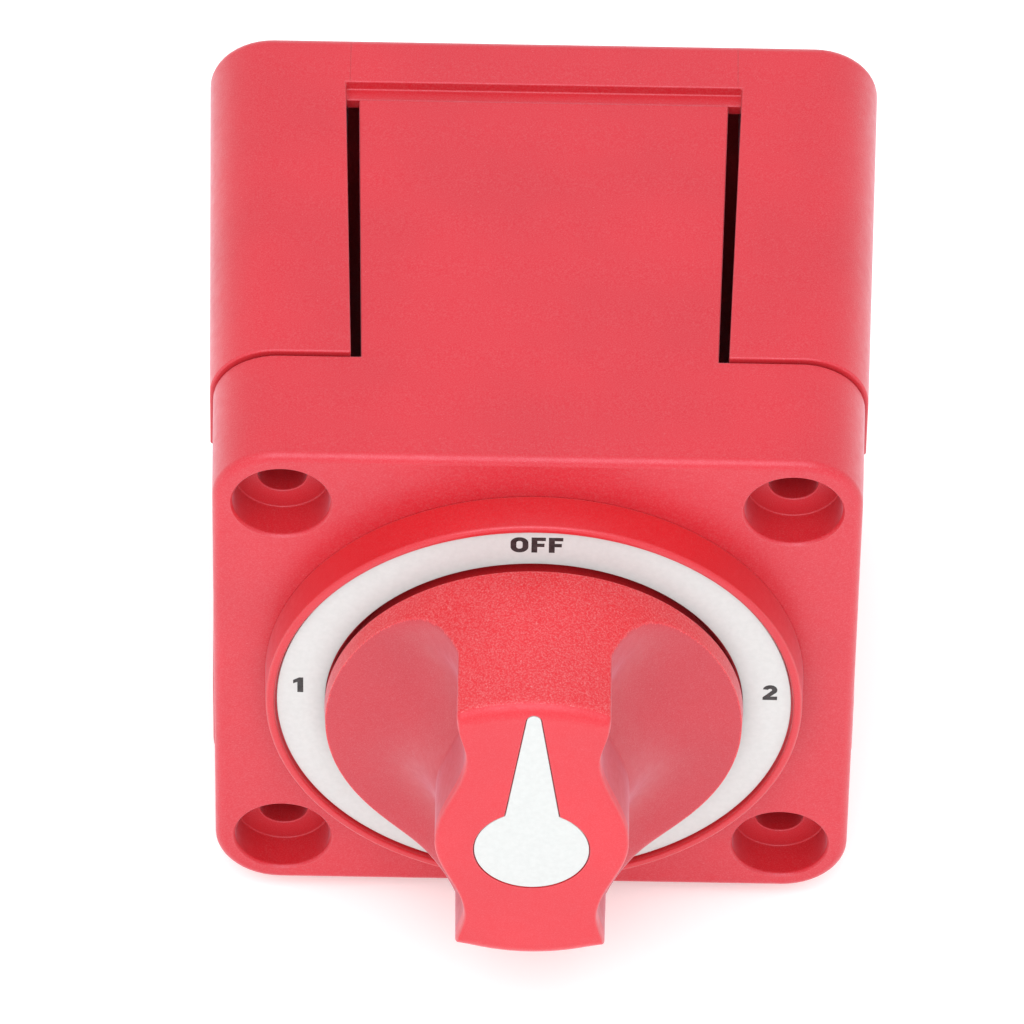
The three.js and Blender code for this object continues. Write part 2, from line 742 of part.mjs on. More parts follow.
const group = new THREE.Group();
group.add(
  piece('front_housing', frontHousing(), redPlastic),
  ...breakOutTongues(),
  piece('bezel_ring', bezelRing(), redPlastic),
  piece('rear_cover', rearCover(), redPlastic),
  piece('dial_label', dialLabel(), whiteLabel),
  piece('knob', knob(), knobPlastic),
  piece('pointer_label', pointerLabel(), whiteLabel),
  piece('rotor_shaft', rotorShaft(), darkPlastic),
  piece('retaining_clip', retainingClip(), steel),
  piece('shaft_seal', shaftSeal, rubber),
  piece('contact_carrier', contactCarrier(), darkPlastic),
  piece('detent_ball_left', detentBall(-1), steel),
  piece('detent_ball_right', detentBall(1), steel),
  piece('detent_spring_left', detentSpring(-1), steel),
  piece('detent_spring_right', detentSpring(1), steel),
  piece('contact_bridge', contactBridge(), copper),
  piece('contact_spring', contactSpring(), steel),
  piece('contact_chamber', contactChamber(), darkPlastic),
  piece('base_gasket', baseGasket(), rubber),
  piece('terminal_base', terminalBase(), darkPlastic),
  ...baseScrews(),
  ...terminals(),
);

export default group;
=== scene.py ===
"""Looks of a four-position rotary battery switch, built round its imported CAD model.

Lengths are in millimetres until a mesh is made. Depth is measured back from the flat front face of the case,
so the knob is at negative depth, and (x, z) is a place in the front view.
"""
import json
import math

import bmesh
import bpy
from mathutils import Matrix, Vector


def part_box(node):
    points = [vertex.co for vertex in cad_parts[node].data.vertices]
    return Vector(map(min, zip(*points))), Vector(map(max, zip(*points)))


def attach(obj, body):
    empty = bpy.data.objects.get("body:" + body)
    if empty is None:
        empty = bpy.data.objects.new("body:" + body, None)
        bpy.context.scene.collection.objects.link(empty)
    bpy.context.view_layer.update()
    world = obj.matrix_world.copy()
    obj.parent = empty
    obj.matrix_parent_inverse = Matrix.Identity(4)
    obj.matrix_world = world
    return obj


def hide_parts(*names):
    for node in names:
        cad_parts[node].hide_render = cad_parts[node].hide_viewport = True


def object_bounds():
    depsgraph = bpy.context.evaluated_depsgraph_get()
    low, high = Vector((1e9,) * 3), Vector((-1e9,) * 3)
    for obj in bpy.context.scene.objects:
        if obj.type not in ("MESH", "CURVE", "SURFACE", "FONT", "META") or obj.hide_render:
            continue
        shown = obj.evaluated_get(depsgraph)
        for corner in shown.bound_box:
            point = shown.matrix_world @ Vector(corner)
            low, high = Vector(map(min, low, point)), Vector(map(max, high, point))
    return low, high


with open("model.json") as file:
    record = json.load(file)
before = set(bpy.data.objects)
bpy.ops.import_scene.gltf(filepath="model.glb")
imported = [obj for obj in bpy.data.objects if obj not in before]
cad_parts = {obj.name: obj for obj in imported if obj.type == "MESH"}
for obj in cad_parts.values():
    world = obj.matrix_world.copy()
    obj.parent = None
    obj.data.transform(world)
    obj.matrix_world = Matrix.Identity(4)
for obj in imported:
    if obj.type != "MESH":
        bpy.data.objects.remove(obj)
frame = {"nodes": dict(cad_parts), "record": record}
cad_low, cad_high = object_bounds()

# ---- Sizes ----

MM = 0.001
BEZEL_HEIGHT = 4.35
FACE_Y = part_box("bezel_ring")[0].y + BEZEL_HEIGHT * MM
BODY_DEPTH = -FACE_Y / MM
OUTSIDE = 50
SEAT_GAP = 0.02
STACK_GAP = 0.1

WALL = 2.5
CORNER_RADIUS = 7
HOUSING_FRONT_HALF = 34.3
HOUSING_REAR_HALF = 34.6
HOUSING_DEPTH = 14.3
HOUSING_FACE_FILLET = 1
HOUSING_EDGE_RADIUS = 0.22
PLATE_THICKNESS = 3.5
COVER_FRONT_DEPTH = 14.6
COVER_FRONT_HALF = 34.95
COVER_REAR_HALF = 36.2
COVER_BACK_THICKNESS = 2.5
COVER_FRONT_FILLET = 0.25
COVER_REAR_FILLET = 1.3
COVER_EDGE_RADIUS = 0.2
TONGUE_END_DEPTH = 51.2
TONGUE_FRONT_HALF_WIDTH = 18.9
TONGUE_REAR_HALF_WIDTH = 19.9
NOTCH_END_DEPTH = 53.2
NOTCH_FRONT_HALF_WIDTH = 20
NOTCH_REAR_HALF_WIDTH = 21.35
LEDGE_FRONT_DEPTH = 51.6
LEDGE_INSET = 1.2
BAR_INSERT_HALF_WIDTH = 20.9
WITNESS_WIDTH = 0.07
WITNESS_DEPTH = 0.06
LIP_HALF = 32
LIP_THICKNESS = 1.4
LIP_END_DEPTH = 16.6

HOLE_PITCH = 54
HOLE_RADIUS = 2.6
COUNTERBORE_RADIUS = 5.15
COUNTERBORE_DEPTH = 4.2
COUNTERBORE_CHAMFER = 0.25
BOSS_RADIUS = 7
BOSS_FRONT_DEPTH = 1.5
POST_RADIUS = 5.8
POST_HOLE_RADIUS = 2.75
POST_HOLE_CHAMFER = 0.25
POST_FRONT_DEPTH = COVER_FRONT_DEPTH + STACK_GAP

BEZEL_RADIUS = 28.8
LABEL_SEAT_RADIUS = 27.7
LABEL_SEAT_HEIGHT = 3.4
LABEL_INNER_RADIUS = 22.3
LABEL_OUTER_RADIUS = 27.45
LABEL_THICKNESS = 0.3
GLUE_GAP = 0.03
LABEL_TOP = LABEL_SEAT_HEIGHT + GLUE_GAP + LABEL_THICKNESS
PRINT_HEIGHT = 2.35
PRINT_SPACING = 0.14
PRINT_THICKNESS = 0.02
PRINT_SHIFT = 0.4
MARK_LIFT = 5.2
WELL_RADIUS = 22
WELL_FLOOR_RADIUS = 21.85
WELL_FLOOR_HEIGHT = 0.8
SHAFT_BORE_RADIUS = 5.08

KNOB_HEIGHT = 22.3
KNOB_RIM_RADIUS = 22.5
KNOB_RIM_HEIGHT = 4.75
KNOB_FACE_RADIUS = 20.1
KNOB_HUB_RADIUS = 20.6
KNOB_HUB_END_HEIGHT = 1.4
BAR_SWELL = 10.3
BAR_SWELL_PLACE = -1.8
BAR_PINCH = 7.1
BAR_UPPER_PINCH_PLACE = 11.7
BAR_LOWER_PINCH_PLACE = -13.5
BAR_END = 8.1
BAR_FLARE_LENGTH = 6
SCOOP_FLOOR_HEIGHT = 6.75
SCOOP_RISE = 7.25
SCOOP_FADE = 2.84
SCOOP_REACH = 16
KNOB_CREST_BLEND = 0.5
KNOB_RIM_BLEND = 1.6
KNOB_RIM_BLEND_REACH = 4
KNOB_SIDE_FILLET = 0.5
KNOB_END_FILLET = 1.5
KNOB_FACE_BORDER = 0.25
KNOB_WALL_SKIN = 0.12
KNOB_LOWER_EDGE_HEIGHT = 0.2
KNOB_ANGLES = 720
KNOB_SCOOP_LEVELS = 60
KNOB_WALL_LEVELS = 8

POINTER_THICKNESS = 0.35
POINTER_POCKET_DEPTH = 0.45
POINTER_GAP = 0.12
POINTER_DISC_RADIUS = 6.1
POINTER_DISC_PLACE = -2.5
POINTER_NECK_HALF_WIDTH = 2.85
POINTER_NECK_PLACE = 3
POINTER_TIP_RADIUS = 0.75
POINTER_TIP_PLACE = 19

BASE_DEPTH = 17
BASE_THICKNESS = 6
BASE_RADIUS = 29.5
PILOT_RADIUS = 4.68
PILOT_END_DEPTH = 18.4
STUD_CIRCLE = 17.5
STUD_ANGLES = {"1": 200, "common": 270, "2": 340}
STUD_RADIUS = 5
STUD_CLEARANCE = 0.2
STUD_END_DEPTH = 45
STUD_CHAMFER = 1
STUD_HEAD_RADIUS = 6.8
STUD_HEAD_THICKNESS = 2.3
STUD_HEAD_CHAMFER = 0.3
CONTACT_RADIUS = 2.5
CONTACT_INSET = 3.5
CONTACT_DEPTH = 14.95
THREAD_PITCH = 1.5
THREAD_DEPTH = 0.75
NUT_ACROSS_FLATS = 16
NUT_THICKNESS = 8
NUT_CROWN_INSET = 1.4
NUT_CROWN_DEPTH = 0.85
NUT_SINK = 0.6
NUT_CLEARANCE = 0.05
WASHER_RADIUS = 9.6
WASHER_THICKNESS = 1.6
WASHER_CLEARANCE = 0.25
SPRING_WASHER_RADIUS = 8.6
SPRING_WASHER_THICKNESS = 2.2
SPRING_WASHER_START = 5
SPRING_WASHER_SWEEP = 342
SPRING_WASHER_SLANT = 8
WASHER_DEPTH = BASE_DEPTH + BASE_THICKNESS + 0.15
SPRING_WASHER_DEPTH = WASHER_DEPTH + WASHER_THICKNESS + STACK_GAP
NUT_DEPTH = SPRING_WASHER_DEPTH + SPRING_WASHER_THICKNESS + STACK_GAP
SEAL_SECTION_RADIUS = 0.65
SEAL_RADIUS = STUD_RADIUS + 0.95
SEAL_RECESS_RADIUS = 7.2
SEAL_RECESS_DEPTH = 1.5
SEAL_DEPTH = BASE_DEPTH + BASE_THICKNESS - 0.7
SCREW_CIRCLE = 26.5
SCREW_ANGLES = (45, 135, 225, 315)
SCREW_HOLE_RADIUS = 1.6
SCREW_HEAD_RADIUS = 2.8
SCREW_HEAD_HEIGHT = 2
SCREW_SLOT_DEPTH = 0.8
SCREW_SLOT_HALF_WIDTH = 0.3
SCREW_TIP_DEPTH = 1.5
SCREW_RADIUS = 1.25

# ---- Looks ----

# How far from an edge the painted edge highlight reaches.
EDGE_HIGHLIGHT_REACH = 0.3
HAZE_TINT = (0.9, 0.82, 1.0, 1)
FLOOR_REACH = 30000
FLOOR_GAP = 0.2

# ---- Camera: the view of the whole switch from the front, looking down ----

CAMERA_ELEVATION = 48.04
CAMERA_ROLL = 0.97
CAMERA_DISTANCE = 1298.6
CAMERA_AIM = (-2.38, 17.60)
CAMERA_LENS = 426.6


# ---- Outlines ----

def polar(radius, degrees):
    """A place in the front view, anticlockwise from +X."""
    angle = math.radians(degrees)
    return radius * math.cos(angle), radius * math.sin(angle)


def arc(centre, radius, start, end, steps):
    """Points along an arc, from one angle to another in degrees."""
    points = []
    for i in range(steps + 1):
        dx, dz = polar(radius, start + (end - start) * i / steps)
        points.append((centre[0] + dx, centre[1] + dz))
    return points


def rounded(corners, steps=5):
    """A closed outline with its corners rounded. Each corner is (u, v, radius)."""
    outline = []
    count = len(corners)
    for i, (u, v, radius) in enumerate(corners):
        corner = Vector((u, v))
        if radius == 0:
            outline.append((u, v))
            continue
        to_last = (Vector(corners[i - 1][:2]) - corner).normalized()
        to_next = (Vector(corners[(i + 1) % count][:2]) - corner).normalized()
        half_angle = to_last.angle(to_next) / 2
        centre = corner + (to_last + to_next).normalized() * radius / math.sin(half_angle)
        setback = radius / math.tan(half_angle)
        start = corner + to_last * setback - centre
        end = corner + to_next * setback - centre
        start_angle = math.degrees(math.atan2(start.y, start.x))
        sweep = (math.degrees(math.atan2(end.y, end.x)) - start_angle + 180) % 360 - 180
        outline += arc(centre, radius, start_angle, start_angle + sweep, steps)
    return outline


def rounded_square(half, radius, steps=12):
    inner = half - radius
    centres = ((inner, inner), (-inner, inner), (-inner, -inner), (inner, -inner))
    outline = []
    for quarter, centre in enumerate(centres):
        outline += arc(centre, radius, 90 * quarter, 90 * quarter + 90, steps)
    return outline


def pointer_outline(growth, steps=24):
    """A round disc with a straight-sided needle that ends in a rounded tip."""
    lean = math.degrees(math.atan2(
        POINTER_NECK_HALF_WIDTH - POINTER_TIP_RADIUS,
        POINTER_TIP_PLACE - POINTER_NECK_PLACE,
    ))
    disc_radius = POINTER_DISC_RADIUS + growth
    neck_angle = math.degrees(math.acos((POINTER_NECK_HALF_WIDTH + growth) / disc_radius))
    tip_centre = (0, POINTER_TIP_PLACE - POINTER_TIP_RADIUS)
    tip = arc(tip_centre, POINTER_TIP_RADIUS + growth, lean, 180 - lean, steps)
    disc = arc((0, POINTER_DISC_PLACE), disc_radius, 180 - neck_angle, 360 + neck_angle, 4 * steps)
    return tip + disc


# ---- Meshes ----

def at(x, depth, z):
    """A point in the row frame, in metres."""
    return x * MM, FACE_Y + depth * MM, z * MM


def make_object(name, vertices, faces):
    """A closed mesh from points (x, depth, z) in millimetres."""
    mesh = bpy.data.meshes.new(name)
    mesh.from_pydata([at(*vertex) for vertex in vertices], [], faces)
    merge_points(mesh)
    piece = bpy.data.objects.new(name, mesh)
    bpy.context.scene.collection.objects.link(piece)
    return piece


def merge_points(mesh):
    """Joins points that lie together, and turns all faces outwards."""
    build = bmesh.new()
    build.from_mesh(mesh)
    bmesh.ops.remove_doubles(build, verts=build.verts, dist=1e-7)
    bmesh.ops.recalc_face_normals(build, faces=build.faces)
    build.to_mesh(mesh)
    build.free()


def stack(name, rings):
    """A solid through rings of points with the same count, closed by a flat face at each end."""
    count = len(rings[0])
    vertices = [vertex for ring in rings for vertex in ring]
    faces = [list(range(count)), list(range(len(vertices) - count, len(vertices)))]
    for level in range(len(rings) - 1):
        for i in range(count):
            j = (i + 1) % count
            low, high = level * count, (level + 1) * count
            faces.append((low + i, low + j, high + j, high + i))
    return make_object(name, vertices, faces)


def prism(name, outline, from_depth, to_depth):
    return stack(name, [[(x, depth, z) for x, z in outline] for depth in (from_depth, to_depth)])


def lathe(name, profile, segments=96, centre=(0, 0)):
    """A solid of revolution. The profile is a closed outline of (radius, depth), on or off the axis."""
    vertices, faces, rows = [], [], []
    for radius, depth in profile:
        on_axis = radius < 1e-6
        row = []
        for i in range(1 if on_axis else segments):
            dx, dz = polar(radius, 360 * i / segments)
            row.append(len(vertices))
            vertices.append((centre[0] + dx, depth, centre[1] + dz))
        rows.append(row)
    for k, row in enumerate(rows):
        following = rows[(k + 1) % len(rows)]
        if len(row) == len(following) == 1:
            continue
        for i in range(segments):
            j = (i + 1) % segments
            corners = [row[i % len(row)], row[j % len(row)]]
            corners += [following[j % len(following)], following[i % len(following)]]
            faces.append(list(dict.fromkeys(corners)))
    return make_object(name, vertices, faces)


def cylinder(name, radius, from_depth, to_depth, centre=(0, 0), segments=64):
    profile = [(0, from_depth), (radius, from_depth), (radius, to_depth), (0, to_depth)]
    return lathe(name, profile, segments, centre)


def block(name, front, rear, front_fillet=0.0, rear_fillet=0.0, corner=CORNER_RADIUS, steps=6):
    """A square block with round corners and drafted sides. Front and rear are (depth, half width)."""
    def section(depth, inset):
        share = (depth - front[0]) / (rear[0] - front[0])
        half = front[1] + (rear[1] - front[1]) * share
        outline = rounded_square(half - inset, corner - inset)
        return [(x, depth, z) for x, z in outline]

    rings = []
    if front_fillet:
        for i in range(steps):
            turn = math.pi / 2 * i / steps
            depth = front[0] + front_fillet * (1 - math.cos(turn))
            rings.append(section(depth, front_fillet * (1 - math.sin(turn))))
    rings.append(section(front[0] + front_fillet, 0))
    rings.append(section(rear[0] - rear_fillet, 0))
    if rear_fillet:
        for i in range(1, steps + 1):
            turn = math.pi / 2 * i / steps
            depth = rear[0] - rear_fillet * (1 - math.sin(turn))
            rings.append(section(depth, rear_fillet * (1 - math.cos(turn))))
    return stack(name, rings)


def turned_place(place, depth, quarter):
    """A place in the front view turned by quarter turns, with its depth."""
    x, z = place
    for _ in range(quarter):
        x, z = -z, x
    return x, depth, z


def bake(piece):
    """Applies a piece's modifiers."""
    graph = bpy.context.evaluated_depsgraph_get()
    mesh = bpy.data.meshes.new_from_object(piece.evaluated_get(graph))
    piece.modifiers.clear()
    piece.data = mesh
    piece.data.name = piece.name


def combine(piece, other, operation):
    modifier = piece.modifiers.new("combine", "BOOLEAN")
    modifier.operation = operation
    modifier.solver = "EXACT"
    modifier.object = other
    bake(piece)
    bpy.data.objects.remove(other)


def cut(piece, cutter):
    combine(piece, cutter, "DIFFERENCE")


def add(piece, other):
    combine(piece, other, "UNION")


def soften(piece, width, segments=3, limit=35):
    """Rounds a piece's sharp edges."""
    bevel = piece.modifiers.new("bevel", "BEVEL")
    bevel.width = width * MM
    bevel.segments = segments
    bevel.limit_method = "ANGLE"
    bevel.angle_limit = math.radians(limit)
    bevel.use_clamp_overlap = False
    bake(piece)


def smooth(piece, sharp=40, keep_flats=True):
    """Shades a piece smoothly, and where asked keeps its large flat faces truly flat."""
    piece.data.shade_smooth()
    piece.data.set_sharp_from_angle(angle=math.radians(sharp))
    if keep_flats:
        weighted = piece.modifiers.new("normals", "WEIGHTED_NORMAL")
        weighted.keep_sharp = True
        weighted.weight = 100
        bake(piece)


def copy_moved(piece, name, place):
    """A copy of a piece, moved in the front view."""
    copy = bpy.data.objects.new(name, piece.data.copy())
    copy.data.transform(Matrix.Translation((place[0] * MM, 0, place[1] * MM)))
    bpy.context.scene.collection.objects.link(copy)
    return copy


def finish_piece(piece, material, body, slot, *nodes):
    """Gives a piece its material and its place in the frame's tree."""
    piece.data.materials.clear()
    piece.data.materials.append(material)
    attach(piece, body)
    if nodes:
        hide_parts(*nodes)


def mounting_holes():
    half = HOLE_PITCH / 2
    return ((half, half), (-half, half), (-half, -half), (half, -half))


# ---- Materials ----

class Nodes:
    """A short way to write a procedural material."""

    def __init__(self, name):
        self.material = bpy.data.materials.new(name)
        self.material.use_nodes = True
        self.tree = self.material.node_tree
        self.shader = self.tree.nodes["Principled BSDF"]
        self.place = self.tree.nodes.new("ShaderNodeTexCoord").outputs["Object"]

    def set(self, name, value):
        self.shader.inputs[name].default_value = value

    def noise(self, scale, detail=2.0, roughness=0.5):
        node = self.tree.nodes.new("ShaderNodeTexNoise")
        node.inputs["Scale"].default_value = scale
        node.inputs["Detail"].default_value = detail
        node.inputs["Roughness"].default_value = roughness
        self.tree.links.new(self.place, node.inputs["Vector"])
        return node.outputs["Fac"]

    def ramp(self, source, low, high, out_low=0.0, out_high=1.0):
        node = self.tree.nodes.new("ShaderNodeMapRange")
        node.inputs["From Min"].default_value = low
        node.inputs["From Max"].default_value = high
        node.inputs["To Min"].default_value = out_low
        node.inputs["To Max"].default_value = out_high
        self.tree.links.new(source, node.inputs["Value"])
        return node.outputs["Result"]

    def mix(self, share, first, second):
        node = self.tree.nodes.new("ShaderNodeMix")
        node.data_type = "RGBA"
        self.tree.links.new(share, node.inputs["Factor"])
        colour_sockets = [s for s in node.inputs if s.type == "RGBA"]
        for socket, colour in zip(colour_sockets, (first, second)):
            if isinstance(colour, bpy.types.NodeSocket):
                self.tree.links.new(colour, socket)
            else:
                socket.default_value = (*colour, 1)
        return next(s for s in node.outputs if s.type == "RGBA")

    def edges(self, radius):
        """Near 0 on open faces, and up to 1 within a radius of an edge."""
        bevel = self.tree.nodes.new("ShaderNodeBevel")
        bevel.samples = 4
        bevel.inputs["Radius"].default_value = radius * MM
        dot = self.tree.nodes.new("ShaderNodeVectorMath")
        dot.operation = "DOT_PRODUCT"
        self.tree.links.new(bevel.outputs["Normal"], dot.inputs[0])
        normal = self.tree.nodes.new("ShaderNodeNewGeometry").outputs["Normal"]
        self.tree.links.new(normal, dot.inputs[1])
        return self.ramp(dot.outputs["Value"], 0.995, 0.85)

    def bump(self, height, strength, distance):
        node = self.tree.nodes.new("ShaderNodeBump")
        node.inputs["Strength"].default_value = strength
        node.inputs["Distance"].default_value = distance * MM
        self.tree.links.new(height, node.inputs["Height"])
        before = self.shader.inputs["Normal"].links
        if before:
            self.tree.links.new(before[0].from_socket, node.inputs["Normal"])
        self.tree.links.new(node.outputs["Normal"], self.shader.inputs["Normal"])

    def colour(self, socket):
        self.tree.links.new(socket, self.shader.inputs["Base Color"])

    def roughness(self, socket):
        self.tree.links.new(socket, self.shader.inputs["Roughness"])


def red_plastic(name, base, roughness, grain, painted_glints, sheen, fineness=1.0):
    """Moulded plastic with a spark-eroded grain, tiny pale specks painted in as glints, a pale sheen and a
    painted highlight along its edges.
    """
    nodes = Nodes(name)
    deep = tuple(channel * 0.93 for channel in base)
    pale = tuple(channel + (0.9 - channel) * 0.4 for channel in base)
    cloud = nodes.ramp(nodes.noise(60, 3), 0.35, 0.65)
    colour = nodes.mix(cloud, base, deep)
    # Painted highlight: the colour turns paler within a short reach of every edge.
    painted_edge_highlight = nodes.ramp(nodes.edges(EDGE_HIGHLIGHT_REACH), 0, 1, 0, 0.1)
    colour = nodes.mix(painted_edge_highlight, colour, pale)
    # Painted glints: fine pale mottling and sparse pale specks stand for the sparkle of light off the grain.
    fine = nodes.ramp(nodes.noise(7500 * fineness, 2, 0.6), 0.42, 0.72, 0, painted_glints)
    colour = nodes.mix(fine, colour, pale)
    glint_speck = nodes.ramp(nodes.noise(3600 * fineness, 1), 0.72, 0.8, 0, painted_glints)
    colour = nodes.mix(glint_speck, colour, pale)
    nodes.colour(colour)
    nodes.roughness(nodes.ramp(nodes.noise(900, 4), 0.3, 0.7, roughness - 0.05, roughness + 0.06))
    nodes.bump(nodes.noise(5200 * fineness, 2, 0.6), grain, 0.06)
    nodes.bump(nodes.noise(140, 2), 0.05, 0.3)
    nodes.set("Specular IOR Level", 0.62)
    nodes.set("Specular Tint", HAZE_TINT)
    nodes.set("Sheen Tint", HAZE_TINT)
    nodes.set("Sheen Weight", sheen)
    nodes.set("Sheen Roughness", 0.35)
    return nodes.material


def label_film(name):
    nodes = Nodes(name)
    fibre = nodes.ramp(nodes.noise(1800, 3), 0.3, 0.7)
    nodes.colour(nodes.mix(fibre, (0.56, 0.58, 0.575), (0.595, 0.615, 0.61)))
    nodes.roughness(nodes.ramp(nodes.noise(300, 3), 0.3, 0.7, 0.34, 0.46))
    nodes.bump(nodes.noise(2600, 2), 0.08, 0.02)
    return nodes.material


def print_ink(name, colour):
    nodes = Nodes(name)
    patch = nodes.ramp(nodes.noise(2400, 3), 0.35, 0.7)
    paler = tuple(min(1, channel * 1.5 + 0.02) for channel in colour)
    nodes.colour(nodes.mix(patch, colour, paler))
    nodes.roughness(nodes.ramp(nodes.noise(900, 2), 0.3, 0.7, 0.45, 0.6))
    return nodes.material


def dark_plastic(name):
    nodes = Nodes(name)
    fleck = nodes.ramp(nodes.noise(1500, 4), 0.4, 0.7)
    nodes.colour(nodes.mix(fleck, (0.018, 0.018, 0.02), (0.045, 0.045, 0.05)))
    nodes.roughness(nodes.ramp(nodes.noise(500, 3), 0.3, 0.7, 0.42, 0.6))
    nodes.bump(nodes.noise(2200, 3), 0.25, 0.05)
    return nodes.material


def seal_rubber(name):
    nodes = Nodes(name)
    bloom = nodes.ramp(nodes.noise(700, 4), 0.45, 0.75)
    nodes.colour(nodes.mix(bloom, (0.012, 0.012, 0.012), (0.04, 0.04, 0.038)))
    nodes.roughness(nodes.ramp(nodes.noise(400, 3), 0.3, 0.7, 0.6, 0.8))
    nodes.bump(nodes.noise(2600, 2), 0.2, 0.04)
    return nodes.material


def bare_metal(name, colour, tarnish, roughness):
    """Plated or bare metal with fine handling marks and a little tarnish."""
    nodes = Nodes(name)
    patch = nodes.ramp(nodes.noise(260, 5, 0.6), 0.4, 0.75, 0, 0.6)
    nodes.colour(nodes.mix(patch, colour, tarnish))
    nodes.roughness(nodes.ramp(nodes.noise(700, 5), 0.3, 0.7, roughness - 0.07, roughness + 0.12))
    nodes.bump(nodes.noise(1400, 4), 0.12, 0.03)
    nodes.set("Metallic", 1.0)
    return nodes.material


# ---- Pieces ----

def outer_half(depth):
    """Half the width over the outer faces of the front housing and its tongues."""
    return HOUSING_FRONT_HALF + (HOUSING_REAR_HALF - HOUSING_FRONT_HALF) * depth / HOUSING_DEPTH


def cover_half(depth):
    share = (depth - COVER_FRONT_DEPTH) / (BODY_DEPTH - COVER_FRONT_DEPTH)
    return COVER_FRONT_HALF + (COVER_REAR_HALF - COVER_FRONT_HALF) * share


def corner_space(quarter, front, rear):
    """A cutter for one corner of the case. Front and rear are (depth, distance from both axes)."""
    rings = []
    for depth, low in (front, rear):
        corners = ((low, low), (OUTSIDE, low), (OUTSIDE, OUTSIDE), (low, OUTSIDE))
        rings.append([turned_place(corner, depth, quarter) for corner in corners])
    return stack("corner", rings)


def make_sleeve():
    """The housing's four walls, drawn out to the ends of the tongues and then hollowed."""
    end_half = outer_half(TONGUE_END_DEPTH)
    face, end = (0, HOUSING_FRONT_HALF), (TONGUE_END_DEPTH, end_half)
    sleeve = block("front_housing_shell", face, end, HOUSING_FACE_FILLET)
    inner = LIP_HALF - LIP_THICKNESS
    cut(sleeve, block("front_hollow", (PLATE_THICKNESS, inner), (LIP_END_DEPTH + 1, inner), corner=4))
    front = (LIP_END_DEPTH, outer_half(LIP_END_DEPTH) - WALL)
    rear = (TONGUE_END_DEPTH + 1, end_half - WALL)
    cut(sleeve, block("rear_hollow", front, rear, corner=5))
    return sleeve


def open_corners(sleeve):
    """Cuts the corners away between the tongues."""
    front = (HOUSING_DEPTH, TONGUE_FRONT_HALF_WIDTH)
    rear = (TONGUE_END_DEPTH + 1, TONGUE_REAR_HALF_WIDTH)
    for quarter in range(4):
        cut(sleeve, corner_space(quarter, front, rear))


def make_locating_lip():
    """The low wall that stands up behind the housing's rim and enters the rear cover."""
    front, rear = HOUSING_DEPTH - 1, LIP_END_DEPTH
    inner = LIP_HALF - LIP_THICKNESS
    lip = block("locating_lip", (front, LIP_HALF), (rear, LIP_HALF), corner=5)
    cut(lip, block("hollow", (front - 1, inner), (rear + 1, inner), corner=4))
    for place in mounting_holes():
        cut(lip, cylinder("post_space", BOSS_RADIUS + 0.1, front - 1, rear + 1, place))
    return lip


def screw_hole(place):
    """A cutter for a counterbored mounting hole with a rounded mouth."""
    return lathe("screw_hole", rounded([
        (0, -1, 0),
        (COUNTERBORE_RADIUS + 1 + COUNTERBORE_CHAMFER, -1, 0),
        (COUNTERBORE_RADIUS, COUNTERBORE_CHAMFER, 0.5),
        (COUNTERBORE_RADIUS, COUNTERBORE_DEPTH, 0.15),
        (HOLE_RADIUS, COUNTERBORE_DEPTH, 0.15),
        (HOLE_RADIUS, HOUSING_DEPTH + 1, 0),
        (0, HOUSING_DEPTH + 1, 0),
    ]), 96, place)


def make_front_housing(material):
    """Face plate, side walls, bosses, locating lip and four break-out tongues."""
    housing = make_sleeve()
    for place in mounting_holes():
        add(housing, cylinder("boss", BOSS_RADIUS, BOSS_FRONT_DEPTH, HOUSING_DEPTH + 0.5, place))
    open_corners(housing)
    add(housing, cylinder("well_floor", WELL_FLOOR_RADIUS, -WELL_FLOOR_HEIGHT, 1, segments=128))
    soften(housing, HOUSING_EDGE_RADIUS)
    for place in mounting_holes():
        cut(housing, screw_hole(place))
    cut(housing, cylinder("shaft_bore", SHAFT_BORE_RADIUS, -1, PLATE_THICKNESS + 1))
    add(housing, make_locating_lip())
    smooth(housing)
    tongues = ["break_out_tongue_" + side for side in ("top", "right", "bottom", "left")]
    finish_piece(housing, material, "housing", "housing_plastic", "front_housing", *tongues)


def make_bezel_ring(material):
    ring = lathe("bezel_ring_body", rounded([
        (WELL_RADIUS, -LABEL_SEAT_HEIGHT, 0.1),
        (LABEL_SEAT_RADIUS, -LABEL_SEAT_HEIGHT, 0.05),
        (LABEL_SEAT_RADIUS, -BEZEL_HEIGHT, 0.3),
        (BEZEL_RADIUS - 0.15, -BEZEL_HEIGHT, 0.42),
        (BEZEL_RADIUS, -SEAT_GAP, 0.08),
        (WELL_RADIUS, -SEAT_GAP, 0),
    ]), 256)
    smooth(ring, 60)
    finish_piece(ring, material, "housing", "housing_plastic", "bezel_ring")


def notch_half_width(depth):
    share = (depth - COVER_FRONT_DEPTH) / (NOTCH_END_DEPTH - COVER_FRONT_DEPTH)
    return NOTCH_FRONT_HALF_WIDTH + (NOTCH_REAR_HALF_WIDTH - NOTCH_FRONT_HALF_WIDTH) * share


def cut_notches(cover):
    """In each side, a cable notch with a ledge across its end."""
    front, inner = COVER_FRONT_DEPTH - 1, COVER_FRONT_HALF - WALL - 1
    ledge_half = cover_half(NOTCH_END_DEPTH) - LEDGE_INSET
    profile = (
        (front, inner), (LEDGE_FRONT_DEPTH, inner), (LEDGE_FRONT_DEPTH, ledge_half),
        (NOTCH_END_DEPTH, ledge_half), (NOTCH_END_DEPTH, OUTSIDE), (front, OUTSIDE),
    )
    for quarter in range(4):
        rings = []
        for side in (-1, 1):
            rings.append([turned_place((side * notch_half_width(d), z), d, quarter) for d, z in profile])
        cut(cover, stack("notch", rings))


